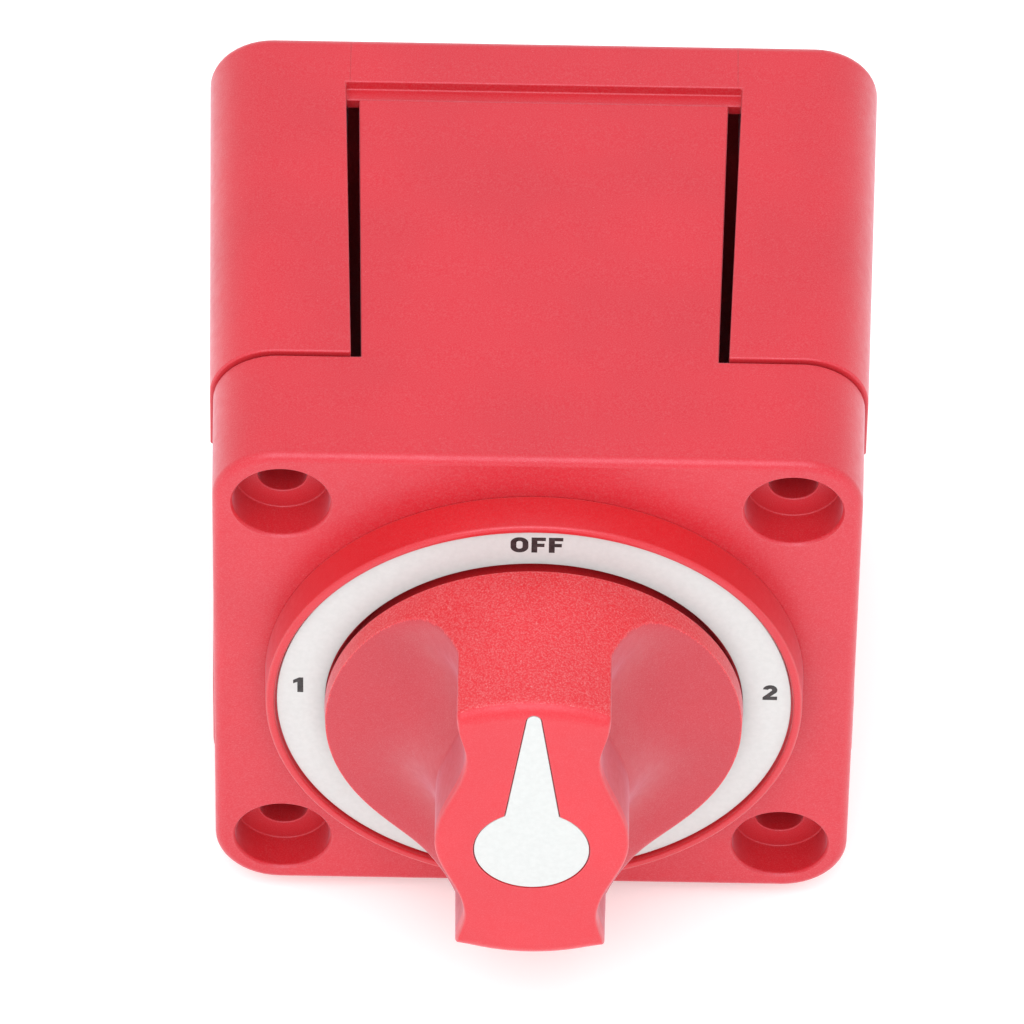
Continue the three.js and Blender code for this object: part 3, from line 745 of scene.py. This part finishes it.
def add_posts(cover):
    """Four screw posts with rounded ends, and a lightly chamfered hole down each."""
    front, rear, chamfer = POST_FRONT_DEPTH, BODY_DEPTH, POST_HOLE_CHAMFER
    for place in mounting_holes():
        post = lathe("post", rounded([
            (0, front, 0),
            (POST_RADIUS, front, 0.3),
            (POST_RADIUS, rear - 1, 0),
            (0, rear - 1, 0),
        ]), 96, place)
        mouth = POST_HOLE_RADIUS + 1 + chamfer
        hole = lathe("post_hole", [
            (0, front - 1), (mouth, front - 1), (POST_HOLE_RADIUS, front + chamfer),
            (POST_HOLE_RADIUS, rear - chamfer), (mouth, rear + 1), (0, rear + 1),
        ], 64, place)
        add(cover, post)
        cut(cover, hole)


def cut_witness_lines(cover):
    """Hairlines at both ends of each bar, where an insert of the mould met the rest of it."""
    for quarter in range(4):
        for x in (-BAR_INSERT_HALF_WIDTH, BAR_INSERT_HALF_WIDTH):
            rings = []
            for depth in (NOTCH_END_DEPTH - 0.5, BODY_DEPTH + 1):
                low, high = cover_half(depth) - WITNESS_DEPTH, cover_half(depth) + 1
                near, far = x - WITNESS_WIDTH / 2, x + WITNESS_WIDTH / 2
                corners = ((near, low), (far, low), (far, high), (near, high))
                rings.append([turned_place(corner, depth, quarter) for corner in corners])
            cut(cover, stack("hairline", rings))


def make_rear_cover(material):
    """Deep shell with cable notches and screw posts."""
    cavity_end = BODY_DEPTH - COVER_BACK_THICKNESS
    front, rear = (COVER_FRONT_DEPTH, COVER_FRONT_HALF), (BODY_DEPTH, COVER_REAR_HALF)
    cover = block("rear_cover_shell", front, rear, COVER_FRONT_FILLET, COVER_REAR_FILLET)
    cavity_front = (COVER_FRONT_DEPTH - 1, COVER_FRONT_HALF - WALL)
    cut(cover, block("cavity", cavity_front, (cavity_end, cover_half(cavity_end) - WALL), corner=5))
    cut_notches(cover)
    soften(cover, COVER_EDGE_RADIUS)
    add_posts(cover)
    cut_witness_lines(cover)
    smooth(cover)
    finish_piece(cover, material, "rear_cover", "housing_plastic", "rear_cover")


def bar_half_width(z):
    """Half the width of the knob's bar, which swells round the pointer's disc and flares at its ends."""
    pinch_place = BAR_UPPER_PINCH_PLACE if z > BAR_SWELL_PLACE else BAR_LOWER_PINCH_PLACE
    share = (z - BAR_SWELL_PLACE) / (pinch_place - BAR_SWELL_PLACE)
    if share < 1:
        middle = (BAR_SWELL + BAR_PINCH) / 2
        return middle + (BAR_SWELL - BAR_PINCH) / 2 * math.cos(math.pi * share)
    share = min(abs(z - pinch_place) / BAR_FLARE_LENGTH, 1)
    return BAR_PINCH + (BAR_END - BAR_PINCH) * (1 - math.cos(math.pi * share)) / 2


def scoop_radius(angle, flare):
    """How far out the bar's side lies in a direction, once it is flared out by a length."""
    across, along = abs(math.cos(angle)), math.sin(angle)
    near, far = 0.0, 60.0
    for _ in range(24):
        middle = (near + far) / 2
        if middle * across < bar_half_width(middle * along) + flare:
            near = middle
        else:
            far = middle
    return near


def soft_step(value, low, high):
    """Rises smoothly from 0 to 1 between two values."""
    share = min(max((value - low) / (high - low), 0), 1)
    return share * share * (3 - 2 * share)


def soft_least(a, b, blend):
    """The lesser of two values, eased over where they meet."""
    share = min(max(0.5 + (b - a) / (2 * blend), 0), 1)
    return b + (a - b) * share - blend * share * (1 - share)


def knob_radius(height):
    share = (height - KNOB_RIM_HEIGHT) / (KNOB_HEIGHT - KNOB_RIM_HEIGHT)
    return KNOB_RIM_RADIUS + (KNOB_FACE_RADIUS - KNOB_RIM_RADIUS) * share


def crest_blend(height):
    """The edge between the knob's wall and a scoop is well rounded low down and crisper above."""
    share = soft_step(height, SCOOP_FLOOR_HEIGHT, SCOOP_FLOOR_HEIGHT + KNOB_RIM_BLEND_REACH)
    return KNOB_RIM_BLEND + (KNOB_CREST_BLEND - KNOB_RIM_BLEND) * share


def face_fillet(angle):
    """The fillet round the knob's face is wide at the bar's two ends and narrow along its sides."""
    share = soft_step(abs(math.sin(angle)), 0.86, 0.96)
    return KNOB_SIDE_FILLET + (KNOB_END_FILLET - KNOB_SIDE_FILLET) * share


def knob_ring(angles, flare, height_for, inset_for=None):
    """One ring of points round the knob. Height and inset depend on the fillet at each angle."""
    points = []
    for angle in angles:
        fillet = face_fillet(angle)
        height = height_for(fillet)
        radius = soft_least(knob_radius(height), scoop_radius(angle, flare), crest_blend(height))
        if inset_for:
            radius -= inset_for(fillet)
        points.append((radius * math.cos(angle), -height, radius * math.sin(angle)))
    return points


def knob_rings():
    """Rings of points from the hub's end, out under the rim, up past the scoops and over on to the face."""
    angles = [2 * math.pi * i / KNOB_ANGLES for i in range(KNOB_ANGLES)]
    rings = []
    for radius, height in (
        (SHAFT_BORE_RADIUS, KNOB_HUB_END_HEIGHT),
        (KNOB_HUB_RADIUS, KNOB_HUB_END_HEIGHT),
        (KNOB_HUB_RADIUS, KNOB_RIM_HEIGHT),
        (KNOB_RIM_RADIUS - 0.5, KNOB_RIM_HEIGHT),
        (KNOB_RIM_RADIUS - 0.15, KNOB_RIM_HEIGHT + 0.1),
    ):
        rings.append([(radius * math.cos(angle), -height, radius * math.sin(angle)) for angle in angles])
    for i in range(KNOB_SCOOP_LEVELS + 1):
        flare = SCOOP_REACH * (1 - i / KNOB_SCOOP_LEVELS) ** 2
        height = SCOOP_FLOOR_HEIGHT + SCOOP_RISE * math.exp(-flare / SCOOP_FADE)
        rings.append(knob_ring(angles, flare, lambda _, level=height: level))
    start = SCOOP_FLOOR_HEIGHT + SCOOP_RISE
    for i in range(1, KNOB_WALL_LEVELS + 1):
        share = i / KNOB_WALL_LEVELS
        rings.append(knob_ring(angles, 0, lambda f, s=share: start + (KNOB_HEIGHT - f - start) * s))
    for i in range(1, KNOB_WALL_LEVELS + 1):
        turn = math.pi / 2 * i / KNOB_WALL_LEVELS
        rise, inset = 1 - math.sin(turn), 1 - math.cos(turn)
        rings.append(knob_ring(angles, 0, lambda f, r=rise: KNOB_HEIGHT - f * r, lambda f, n=inset: f * n))
    rings.append(knob_ring(angles, 0, lambda _: KNOB_HEIGHT, lambda f: f + KNOB_FACE_BORDER))
    return rings


def paint_knob_sides(knob, wall_material, scoop_shade_material):
    """Gives the knob's outer wall and its finger scoops materials of their own; the scoops' darker red is
    painted shade.
    """
    knob.data.materials.append(wall_material)
    knob.data.materials.append(scoop_shade_material)
    for face in knob.data.polygons:
        x, height, z = face.center.x / MM, (FACE_Y - face.center.y) / MM, face.center.z / MM
        if math.hypot(x, z) > knob_radius(height) - KNOB_WALL_SKIN:
            face.material_index = 1
        # Faces in the scoops take the darker red, painted shade for their hollows.
        elif KNOB_RIM_HEIGHT + KNOB_LOWER_EDGE_HEIGHT < height < KNOB_HEIGHT - KNOB_END_FILLET:
            face.material_index = 2


def make_knob(material, wall_material, scoop_shade_material):
    """A low disc with a tall waisted bar between two finger scoops."""
    knob = stack("knob_body", knob_rings())
    pocket_floor = -KNOB_HEIGHT + POINTER_POCKET_DEPTH
    cut(knob, prism("pocket", pointer_outline(POINTER_GAP), -KNOB_HEIGHT - 1, pocket_floor))
    smooth(knob, 50, keep_flats=False)
    finish_piece(knob, material, "rotor", "knob_plastic", "knob")
    paint_knob_sides(knob, wall_material, scoop_shade_material)


def make_pointer_label(material):
    rear = -KNOB_HEIGHT + POINTER_POCKET_DEPTH - GLUE_GAP
    label = prism("pointer_inlay", pointer_outline(0), rear - POINTER_THICKNESS, rear)
    soften(label, 0.06, 2, 50)
    smooth(label)
    finish_piece(label, material, "rotor", "label", "pointer_label")


def make_dial_label(material):
    rear = -LABEL_SEAT_HEIGHT - GLUE_GAP
    label = lathe("dial_face", rounded([
        (LABEL_INNER_RADIUS, -LABEL_TOP, 0.05),
        (LABEL_OUTER_RADIUS, -LABEL_TOP, 0.05),
        (LABEL_OUTER_RADIUS, rear, 0),
        (LABEL_INNER_RADIUS, rear, 0),
    ], 2), 256)
    smooth(label, 50)
    finish_piece(label, material, "housing", "label", "dial_label")


# Each glyph is one unit high: its width, then its outlines. An outline inside another is a hole.
GLYPHS = {
    "O": (0.80, [
        rounded([(0, 0, 0.38), (0.80, 0, 0.38), (0.80, 1, 0.38), (0, 1, 0.38)], 10),
        rounded([(0.26, 0.24, 0.13), (0.54, 0.24, 0.13), (0.54, 0.76, 0.13), (0.26, 0.76, 0.13)], 8),
    ]),
    "F": (0.64, [[
        (0, 0), (0.26, 0), (0.26, 0.38), (0.58, 0.38), (0.58, 0.60),
        (0.26, 0.60), (0.26, 0.78), (0.64, 0.78), (0.64, 1), (0, 1),
    ]]),
    "1": (0.46, [[(0.19, 0), (0.46, 0), (0.46, 1), (0.27, 1), (0, 0.82), (0, 0.59), (0.19, 0.70)]]),
    "2": (0.66, [
        [(0.66, 0.23), (0.66, 0), (0, 0), (0, 0.17)]
        + arc((0.33, 0.68), 0.09, -38, 172, 12)
        + arc((0.33, 0.68), 0.33, 172, -38, 20)
        + [(0.33, 0.23)],
    ]),
    "+": (0.60, [[
        (0.20, 0.20), (0.40, 0.20), (0.40, 0.40), (0.60, 0.40), (0.60, 0.60), (0.40, 0.60),
        (0.40, 0.80), (0.20, 0.80), (0.20, 0.60), (0, 0.60), (0, 0.40), (0.20, 0.40),
    ]]),
}


def make_mark(name, text, place, material):
    """One printed mark, a thin film of ink on the dial label."""
    widths = [GLYPHS[letter][0] for letter in text]
    left = -(sum(widths) + PRINT_SPACING * (len(text) - 1)) / 2
    drawing = bpy.data.curves.new(name, "CURVE")
    drawing.dimensions = "2D"
    drawing.fill_mode = "BOTH"
    drawing.extrude = PRINT_THICKNESS / 2 * MM
    for letter, width in zip(text, widths):
        for outline in GLYPHS[letter][1]:
            spline = drawing.splines.new("POLY")
            spline.points.add(len(outline) - 1)
            spline.use_cyclic_u = True
            for point, (u, v) in zip(spline.points, outline):
                point.co = ((left + u) * PRINT_HEIGHT * MM, (v - 0.5) * PRINT_HEIGHT * MM, 0, 1)
        left += width + PRINT_SPACING
    pattern = bpy.data.objects.new(name, drawing)
    bpy.context.scene.collection.objects.link(pattern)
    graph = bpy.context.evaluated_depsgraph_get()
    mesh = bpy.data.meshes.new_from_object(pattern.evaluated_get(graph))
    stand_up = Matrix.Rotation(math.pi / 2, 4, "X")
    move = Matrix.Translation(at(place[0], -LABEL_TOP - PRINT_THICKNESS / 2, place[1]))
    mesh.transform(move @ stand_up)
    mark = bpy.data.objects.new("print_" + name, mesh)
    bpy.context.scene.collection.objects.link(mark)
    bpy.data.objects.remove(pattern)
    merge_points(mesh)
    finish_piece(mark, material, "housing", "label")


def make_prints(material):
    middle = (LABEL_INNER_RADIUS + LABEL_OUTER_RADIUS) / 2 + PRINT_SHIFT
    make_mark("off", "OFF", (0, middle), material)
    make_mark("one", "1", polar(middle, 180 - MARK_LIFT), material)
    make_mark("two", "2", polar(middle, MARK_LIFT), material)
    make_mark("both", "1+2", (0, -middle), material)


# ---- Terminals: seen once the rear cover is off ----

def make_terminal_base(material):
    rear = BASE_DEPTH + BASE_THICKNESS
    base = lathe("base_plate", rounded([
        (0, BASE_DEPTH, 0),
        (BASE_RADIUS, BASE_DEPTH, 0.3),
        (BASE_RADIUS, rear, 0.6),
        (0, rear, 0),
    ]), 160)
    head, head_end = STUD_HEAD_RADIUS + STUD_CLEARANCE, BASE_DEPTH + STUD_HEAD_THICKNESS + 0.3
    shank, recess = STUD_RADIUS + STUD_CLEARANCE, rear - SEAL_RECESS_DEPTH
    for angle in STUD_ANGLES.values():
        cut(base, lathe("stud_hole", [
            (0, BASE_DEPTH - 1), (head, BASE_DEPTH - 1), (head, head_end), (shank, head_end),
            (shank, recess), (SEAL_RECESS_RADIUS, recess), (SEAL_RECESS_RADIUS, rear + 1), (0, rear + 1),
        ], 90, polar(STUD_CIRCLE, angle)))
    for angle in SCREW_ANGLES:
        place = polar(SCREW_CIRCLE, angle)
        cut(base, cylinder("screw_hole", SCREW_HOLE_RADIUS, BASE_DEPTH - 1, rear + 1, place, 32))
    cut(base, cylinder("pilot", PILOT_RADIUS, BASE_DEPTH - 1, PILOT_END_DEPTH))
    smooth(base)
    finish_piece(base, material, "housing", "dark_plastic", "terminal_base")


def thread_radius(depth, share_of_turn):
    """The radius of a stud's thread at a depth and a share of a turn, with flat crests and roots."""
    phase = (depth / THREAD_PITCH - share_of_turn) % 1
    groove = (1 - abs(2 * phase - 1)) * 1.35 - 0.15
    return STUD_RADIUS - THREAD_DEPTH * min(max(groove, 0), 1)


def make_shank():
    """A stud's round head and threaded shank, on the knob axis."""
    count = 48

    def ring(depth, radius_for):
        points = []
        for i in range(count):
            x, z = polar(radius_for(i / count), 360 * i / count)
            points.append((x, depth, z))
        return points

    head = BASE_DEPTH + STACK_GAP
    head_end = head + STUD_HEAD_THICKNESS
    plain = (
        (head, STUD_HEAD_RADIUS - STUD_HEAD_CHAMFER),
        (head + STUD_HEAD_CHAMFER, STUD_HEAD_RADIUS),
        (head_end - STUD_HEAD_CHAMFER, STUD_HEAD_RADIUS),
        (head_end, STUD_HEAD_RADIUS - STUD_HEAD_CHAMFER),
        (head_end, STUD_RADIUS),
        (head_end + 0.5, STUD_RADIUS),
    )
    rings = [ring(depth, lambda _, radius=radius: radius) for depth, radius in plain]
    start = head_end + 1
    rows = 136
    for k in range(rows + 1):
        depth = start + (STUD_END_DEPTH - start) * k / rows
        limit = STUD_RADIUS - max(STUD_CHAMFER - (STUD_END_DEPTH - depth), 0)
        rings.append(ring(depth, lambda share, d=depth, most=limit: min(thread_radius(d, share), most)))
    return stack("shank", rings)


def make_nut():
    """A chamfered hexagon nut with a countersunk hole, on the knob axis."""
    corner = NUT_ACROSS_FLATS / math.sqrt(3)
    rear = NUT_DEPTH + NUT_THICKNESS
    nut = cylinder("nut", corner, NUT_DEPTH, rear, segments=6)
    crown = lathe("crown", [
        (0, NUT_DEPTH), (corner - NUT_CROWN_INSET, NUT_DEPTH),
        (corner + 0.2, NUT_DEPTH + NUT_CROWN_DEPTH), (corner + 0.2, rear - NUT_CROWN_DEPTH),
        (corner - NUT_CROWN_INSET, rear), (0, rear),
    ])
    combine(nut, crown, "INTERSECT")
    hole = STUD_RADIUS + NUT_CLEARANCE
    mouth = hole + (1 + NUT_SINK)
    cut(nut, lathe("hole", [
        (0, NUT_DEPTH - 1), (mouth, NUT_DEPTH - 1), (hole, NUT_DEPTH + NUT_SINK),
        (hole, rear - NUT_SINK), (mouth, rear + 1), (0, rear + 1),
    ], 90))
    smooth(nut, 20)
    return nut


def make_washer():
    hole, rear = STUD_RADIUS + WASHER_CLEARANCE, WASHER_DEPTH + WASHER_THICKNESS
    washer = lathe("washer", rounded([
        (hole, WASHER_DEPTH, 0.15),
        (WASHER_RADIUS, WASHER_DEPTH, 0.35),
        (WASHER_RADIUS, rear, 0.2),
        (hole, rear, 0.1),
    ]), 128)
    smooth(washer, 60)
    return washer


def make_spring_washer():
    """A split ring, cut through on the slant."""
    front, rear = SPRING_WASHER_DEPTH, SPRING_WASHER_DEPTH + SPRING_WASHER_THICKNESS
    inner, outer = STUD_RADIUS + STUD_CLEARANCE, SPRING_WASHER_RADIUS
    section = rounded([(inner, front, 0.2), (outer, front, 0.3), (outer, rear, 0.3), (inner, rear, 0.2)])
    steps = 96
    rings = []
    for i in range(steps + 1):
        ring = []
        for radius, depth in section:
            slant = SPRING_WASHER_SLANT * (depth - front) / SPRING_WASHER_THICKNESS
            x, z = polar(radius, SPRING_WASHER_START + SPRING_WASHER_SWEEP * i / steps + slant)
            ring.append((x, depth, z))
        rings.append(ring)
    washer = stack("spring_washer", rings)
    smooth(washer, 50)
    return washer


def make_seal():
    section = arc((SEAL_RADIUS, SEAL_DEPTH), SEAL_SECTION_RADIUS, 0, 345, 23)
    seal = lathe("seal", section)
    smooth(seal, 60, keep_flats=False)
    return seal


def make_screw():
    """A slotted pan-head screw on the knob axis; its threads are hidden in the holes."""
    seat = BASE_DEPTH + BASE_THICKNESS + SEAT_GAP
    top = seat + SCREW_HEAD_HEIGHT
    screw = lathe("screw", rounded([
        (0, SCREW_TIP_DEPTH, 0), (SCREW_RADIUS, SCREW_TIP_DEPTH, 0.3), (SCREW_RADIUS, seat, 0.1),
        (SCREW_HEAD_RADIUS, seat, 0.15), (SCREW_HEAD_RADIUS, top, 0.8), (0, top, 0),
    ]), 64)
    half, reach = SCREW_SLOT_HALF_WIDTH, SCREW_HEAD_RADIUS + 1.2
    slot = [(-half, -reach), (half, -reach), (half, reach), (-half, reach)]
    cut(screw, prism("slot", slot, top - SCREW_SLOT_DEPTH, top + 1))
    soften(screw, 0.05, 2)
    smooth(screw)
    return screw


def make_terminals(stud_metal, steel, rubber):
    """Studs with their contact buttons, seals, washers and nuts."""
    patterns = {
        "hex_nut_": make_nut(),
        "flat_washer_": make_washer(),
        "spring_washer_": make_spring_washer(),
    }
    seal, shank = make_seal(), make_shank()
    for name, angle in STUD_ANGLES.items():
        place = polar(STUD_CIRCLE, angle)
        stud = copy_moved(shank, "terminal_stud_" + name, place)
        button_place = polar(STUD_CIRCLE - CONTACT_INSET, angle)
        add(stud, cylinder("button", CONTACT_RADIUS, CONTACT_DEPTH, BASE_DEPTH + 1, button_place))
        smooth(stud, 50, keep_flats=False)
        finish_piece(stud, stud_metal, "housing", "tinned_copper", "stud_" + name)
        ring = copy_moved(seal, "seal_of_stud_" + name, place)
        finish_piece(ring, rubber, "housing", "rubber", "stud_seal_" + name)
        for node, pattern in patterns.items():
            piece = copy_moved(pattern, node + name + "_body", place)
            finish_piece(piece, steel, "housing", "steel", node + name)
    for pattern in (seal, shank, *patterns.values()):
        bpy.data.objects.remove(pattern)


def make_base_screws(steel):
    pattern = make_screw()
    for i, angle in enumerate(SCREW_ANGLES):
        name = "base_screw_%d" % (i + 1)
        screw = copy_moved(pattern, name + "_body", polar(SCREW_CIRCLE, angle))
        finish_piece(screw, steel, "housing", "steel", name)
    bpy.data.objects.remove(pattern)


# ---- Floor, light and camera ----

def make_stage():
    """A pale paper floor and an even white surround."""
    mesh = bpy.data.meshes.new("floor")
    level = cad_low.z - FLOOR_GAP * MM
    low, high = -FLOOR_REACH * MM, FLOOR_REACH * MM
    corners = [(low, low, level), (high, low, level), (high, high, level), (low, high, level)]
    mesh.from_pydata(corners, [], [(0, 1, 2, 3)])
    floor = bpy.data.objects.new("floor", mesh)
    bpy.context.scene.collection.objects.link(floor)
    nodes = Nodes("floor_paper")
    nodes.colour(nodes.mix(nodes.noise(2, 2), (0.84, 0.84, 0.84), (0.86, 0.86, 0.86)))
    nodes.set("Roughness", 0.9)
    nodes.set("Emission Color", (1, 1, 1, 1))
    nodes.set("Emission Strength", 0.3)
    mesh.materials.append(nodes.material)
    world = bpy.data.worlds.new("studio")
    world.use_nodes = True
    background = world.node_tree.nodes["Background"]
    background.inputs["Color"].default_value = (1, 1, 1, 1)
    background.inputs["Strength"].default_value = 1.05
    bpy.context.scene.world = world


def make_light(name, place, target, size, power):
    """A round soft light. Its place, target and size are in metres."""
    data = bpy.data.lights.new(name, "AREA")
    data.shape = "DISK"
    data.size = size
    data.energy = power
    light = bpy.data.objects.new(name, data)
    bpy.context.scene.collection.objects.link(light)
    light.location = place
    light.rotation_euler = (Vector(target) - Vector(place)).to_track_quat("-Z", "Y").to_euler()


def make_camera():
    elevation = math.radians(CAMERA_ELEVATION)
    roll = math.radians(CAMERA_ROLL)
    back = Vector((0, -math.cos(elevation), math.sin(elevation)))
    right = (-back).cross(Vector((0, 0, 1))).normalized()
    up = right.cross(-back)
    rolled_right = right * math.cos(roll) + up * math.sin(roll)
    rolled_up = up * math.cos(roll) - right * math.sin(roll)
    aim = rolled_right * CAMERA_AIM[0] + rolled_up * CAMERA_AIM[1]
    place = aim + back * CAMERA_DISTANCE
    data = bpy.data.cameras.new("camera")
    data.lens = CAMERA_LENS
    data.sensor_width = 36
    data.clip_start = 0.01
    data.clip_end = 100
    camera = bpy.data.objects.new("camera", data)
    bpy.context.scene.collection.objects.link(camera)
    turn = Matrix((rolled_right, rolled_up, back)).transposed().to_4x4()
    camera.matrix_world = Matrix.Translation(Vector(at(*place))) @ turn
    bpy.context.scene.camera = camera


def paint_node(node, material):
    """Gives a carried-over CAD node its finished material."""
    piece = frame["nodes"][node]
    piece.data.materials.clear()
    piece.data.materials.append(material)


make_camera()
make_stage()
make_light("key", (-0.1, -1.15, 1.7), (0, -0.04, 0), 1.8, 23.5)

case_red = red_plastic("case_red", (0.56, 0.010, 0.019), 0.4, 0.3, 0.12, 0.22)
ring_red = red_plastic("ring_red", (0.58, 0.010, 0.015), 0.34, 0.3, 0.08, 0.14)
knob_red = red_plastic("knob_red", (0.62, 0.011, 0.017), 0.42, 0.15, 0.08, 0.25)
# The knob's wall gets a coarser grain and more painted glints than the other reds.
knob_wall_red = red_plastic("knob_wall_red", (0.62, 0.011, 0.015), 0.4, 0.8, 0.28, 0.2, 0.7)
# Painted shade: the scoops get a darker copy of the knob's red, standing for the shade in their hollows.
scoop_shaded_red = red_plastic("scoop_shaded_red", (0.48, 0.011, 0.019), 0.42, 0.2, 0.12, 0.32)
white_film = label_film("white_film")
black_ink = print_ink("black_ink", (0.010, 0.008, 0.009))
black_plastic = dark_plastic("black_plastic")
black_rubber = seal_rubber("black_rubber")
stainless = bare_metal("stainless", (0.60, 0.60, 0.61), (0.45, 0.44, 0.43), 0.3)
tin_plate = bare_metal("tin_plate", (0.74, 0.73, 0.70), (0.55, 0.53, 0.48), 0.36)
bare_copper = bare_metal("bare_copper", (0.75, 0.36, 0.22), (0.45, 0.2, 0.12), 0.33)

slot_materials = {
    "housing_plastic": case_red,
    "knob_plastic": knob_red,
    "label": white_film,
    "dark_plastic": black_plastic,
    "rubber": black_rubber,
    "steel": stainless,
    "tinned_copper": tin_plate,
    "copper": bare_copper,
}
for subpart in frame["record"]["subparts"]:
    paint_node(subpart["node"], slot_materials[subpart["material_slot"]])

make_front_housing(case_red)
make_bezel_ring(ring_red)
make_rear_cover(case_red)
make_knob(knob_red, knob_wall_red, scoop_shaded_red)
make_pointer_label(white_film)
make_dial_label(white_film)
make_prints(black_ink)
make_terminal_base(black_plastic)
make_terminals(tin_plate, stainless, black_rubber)
make_base_screws(stainless)

bpy.context.scene.view_settings.view_transform = "Standard"
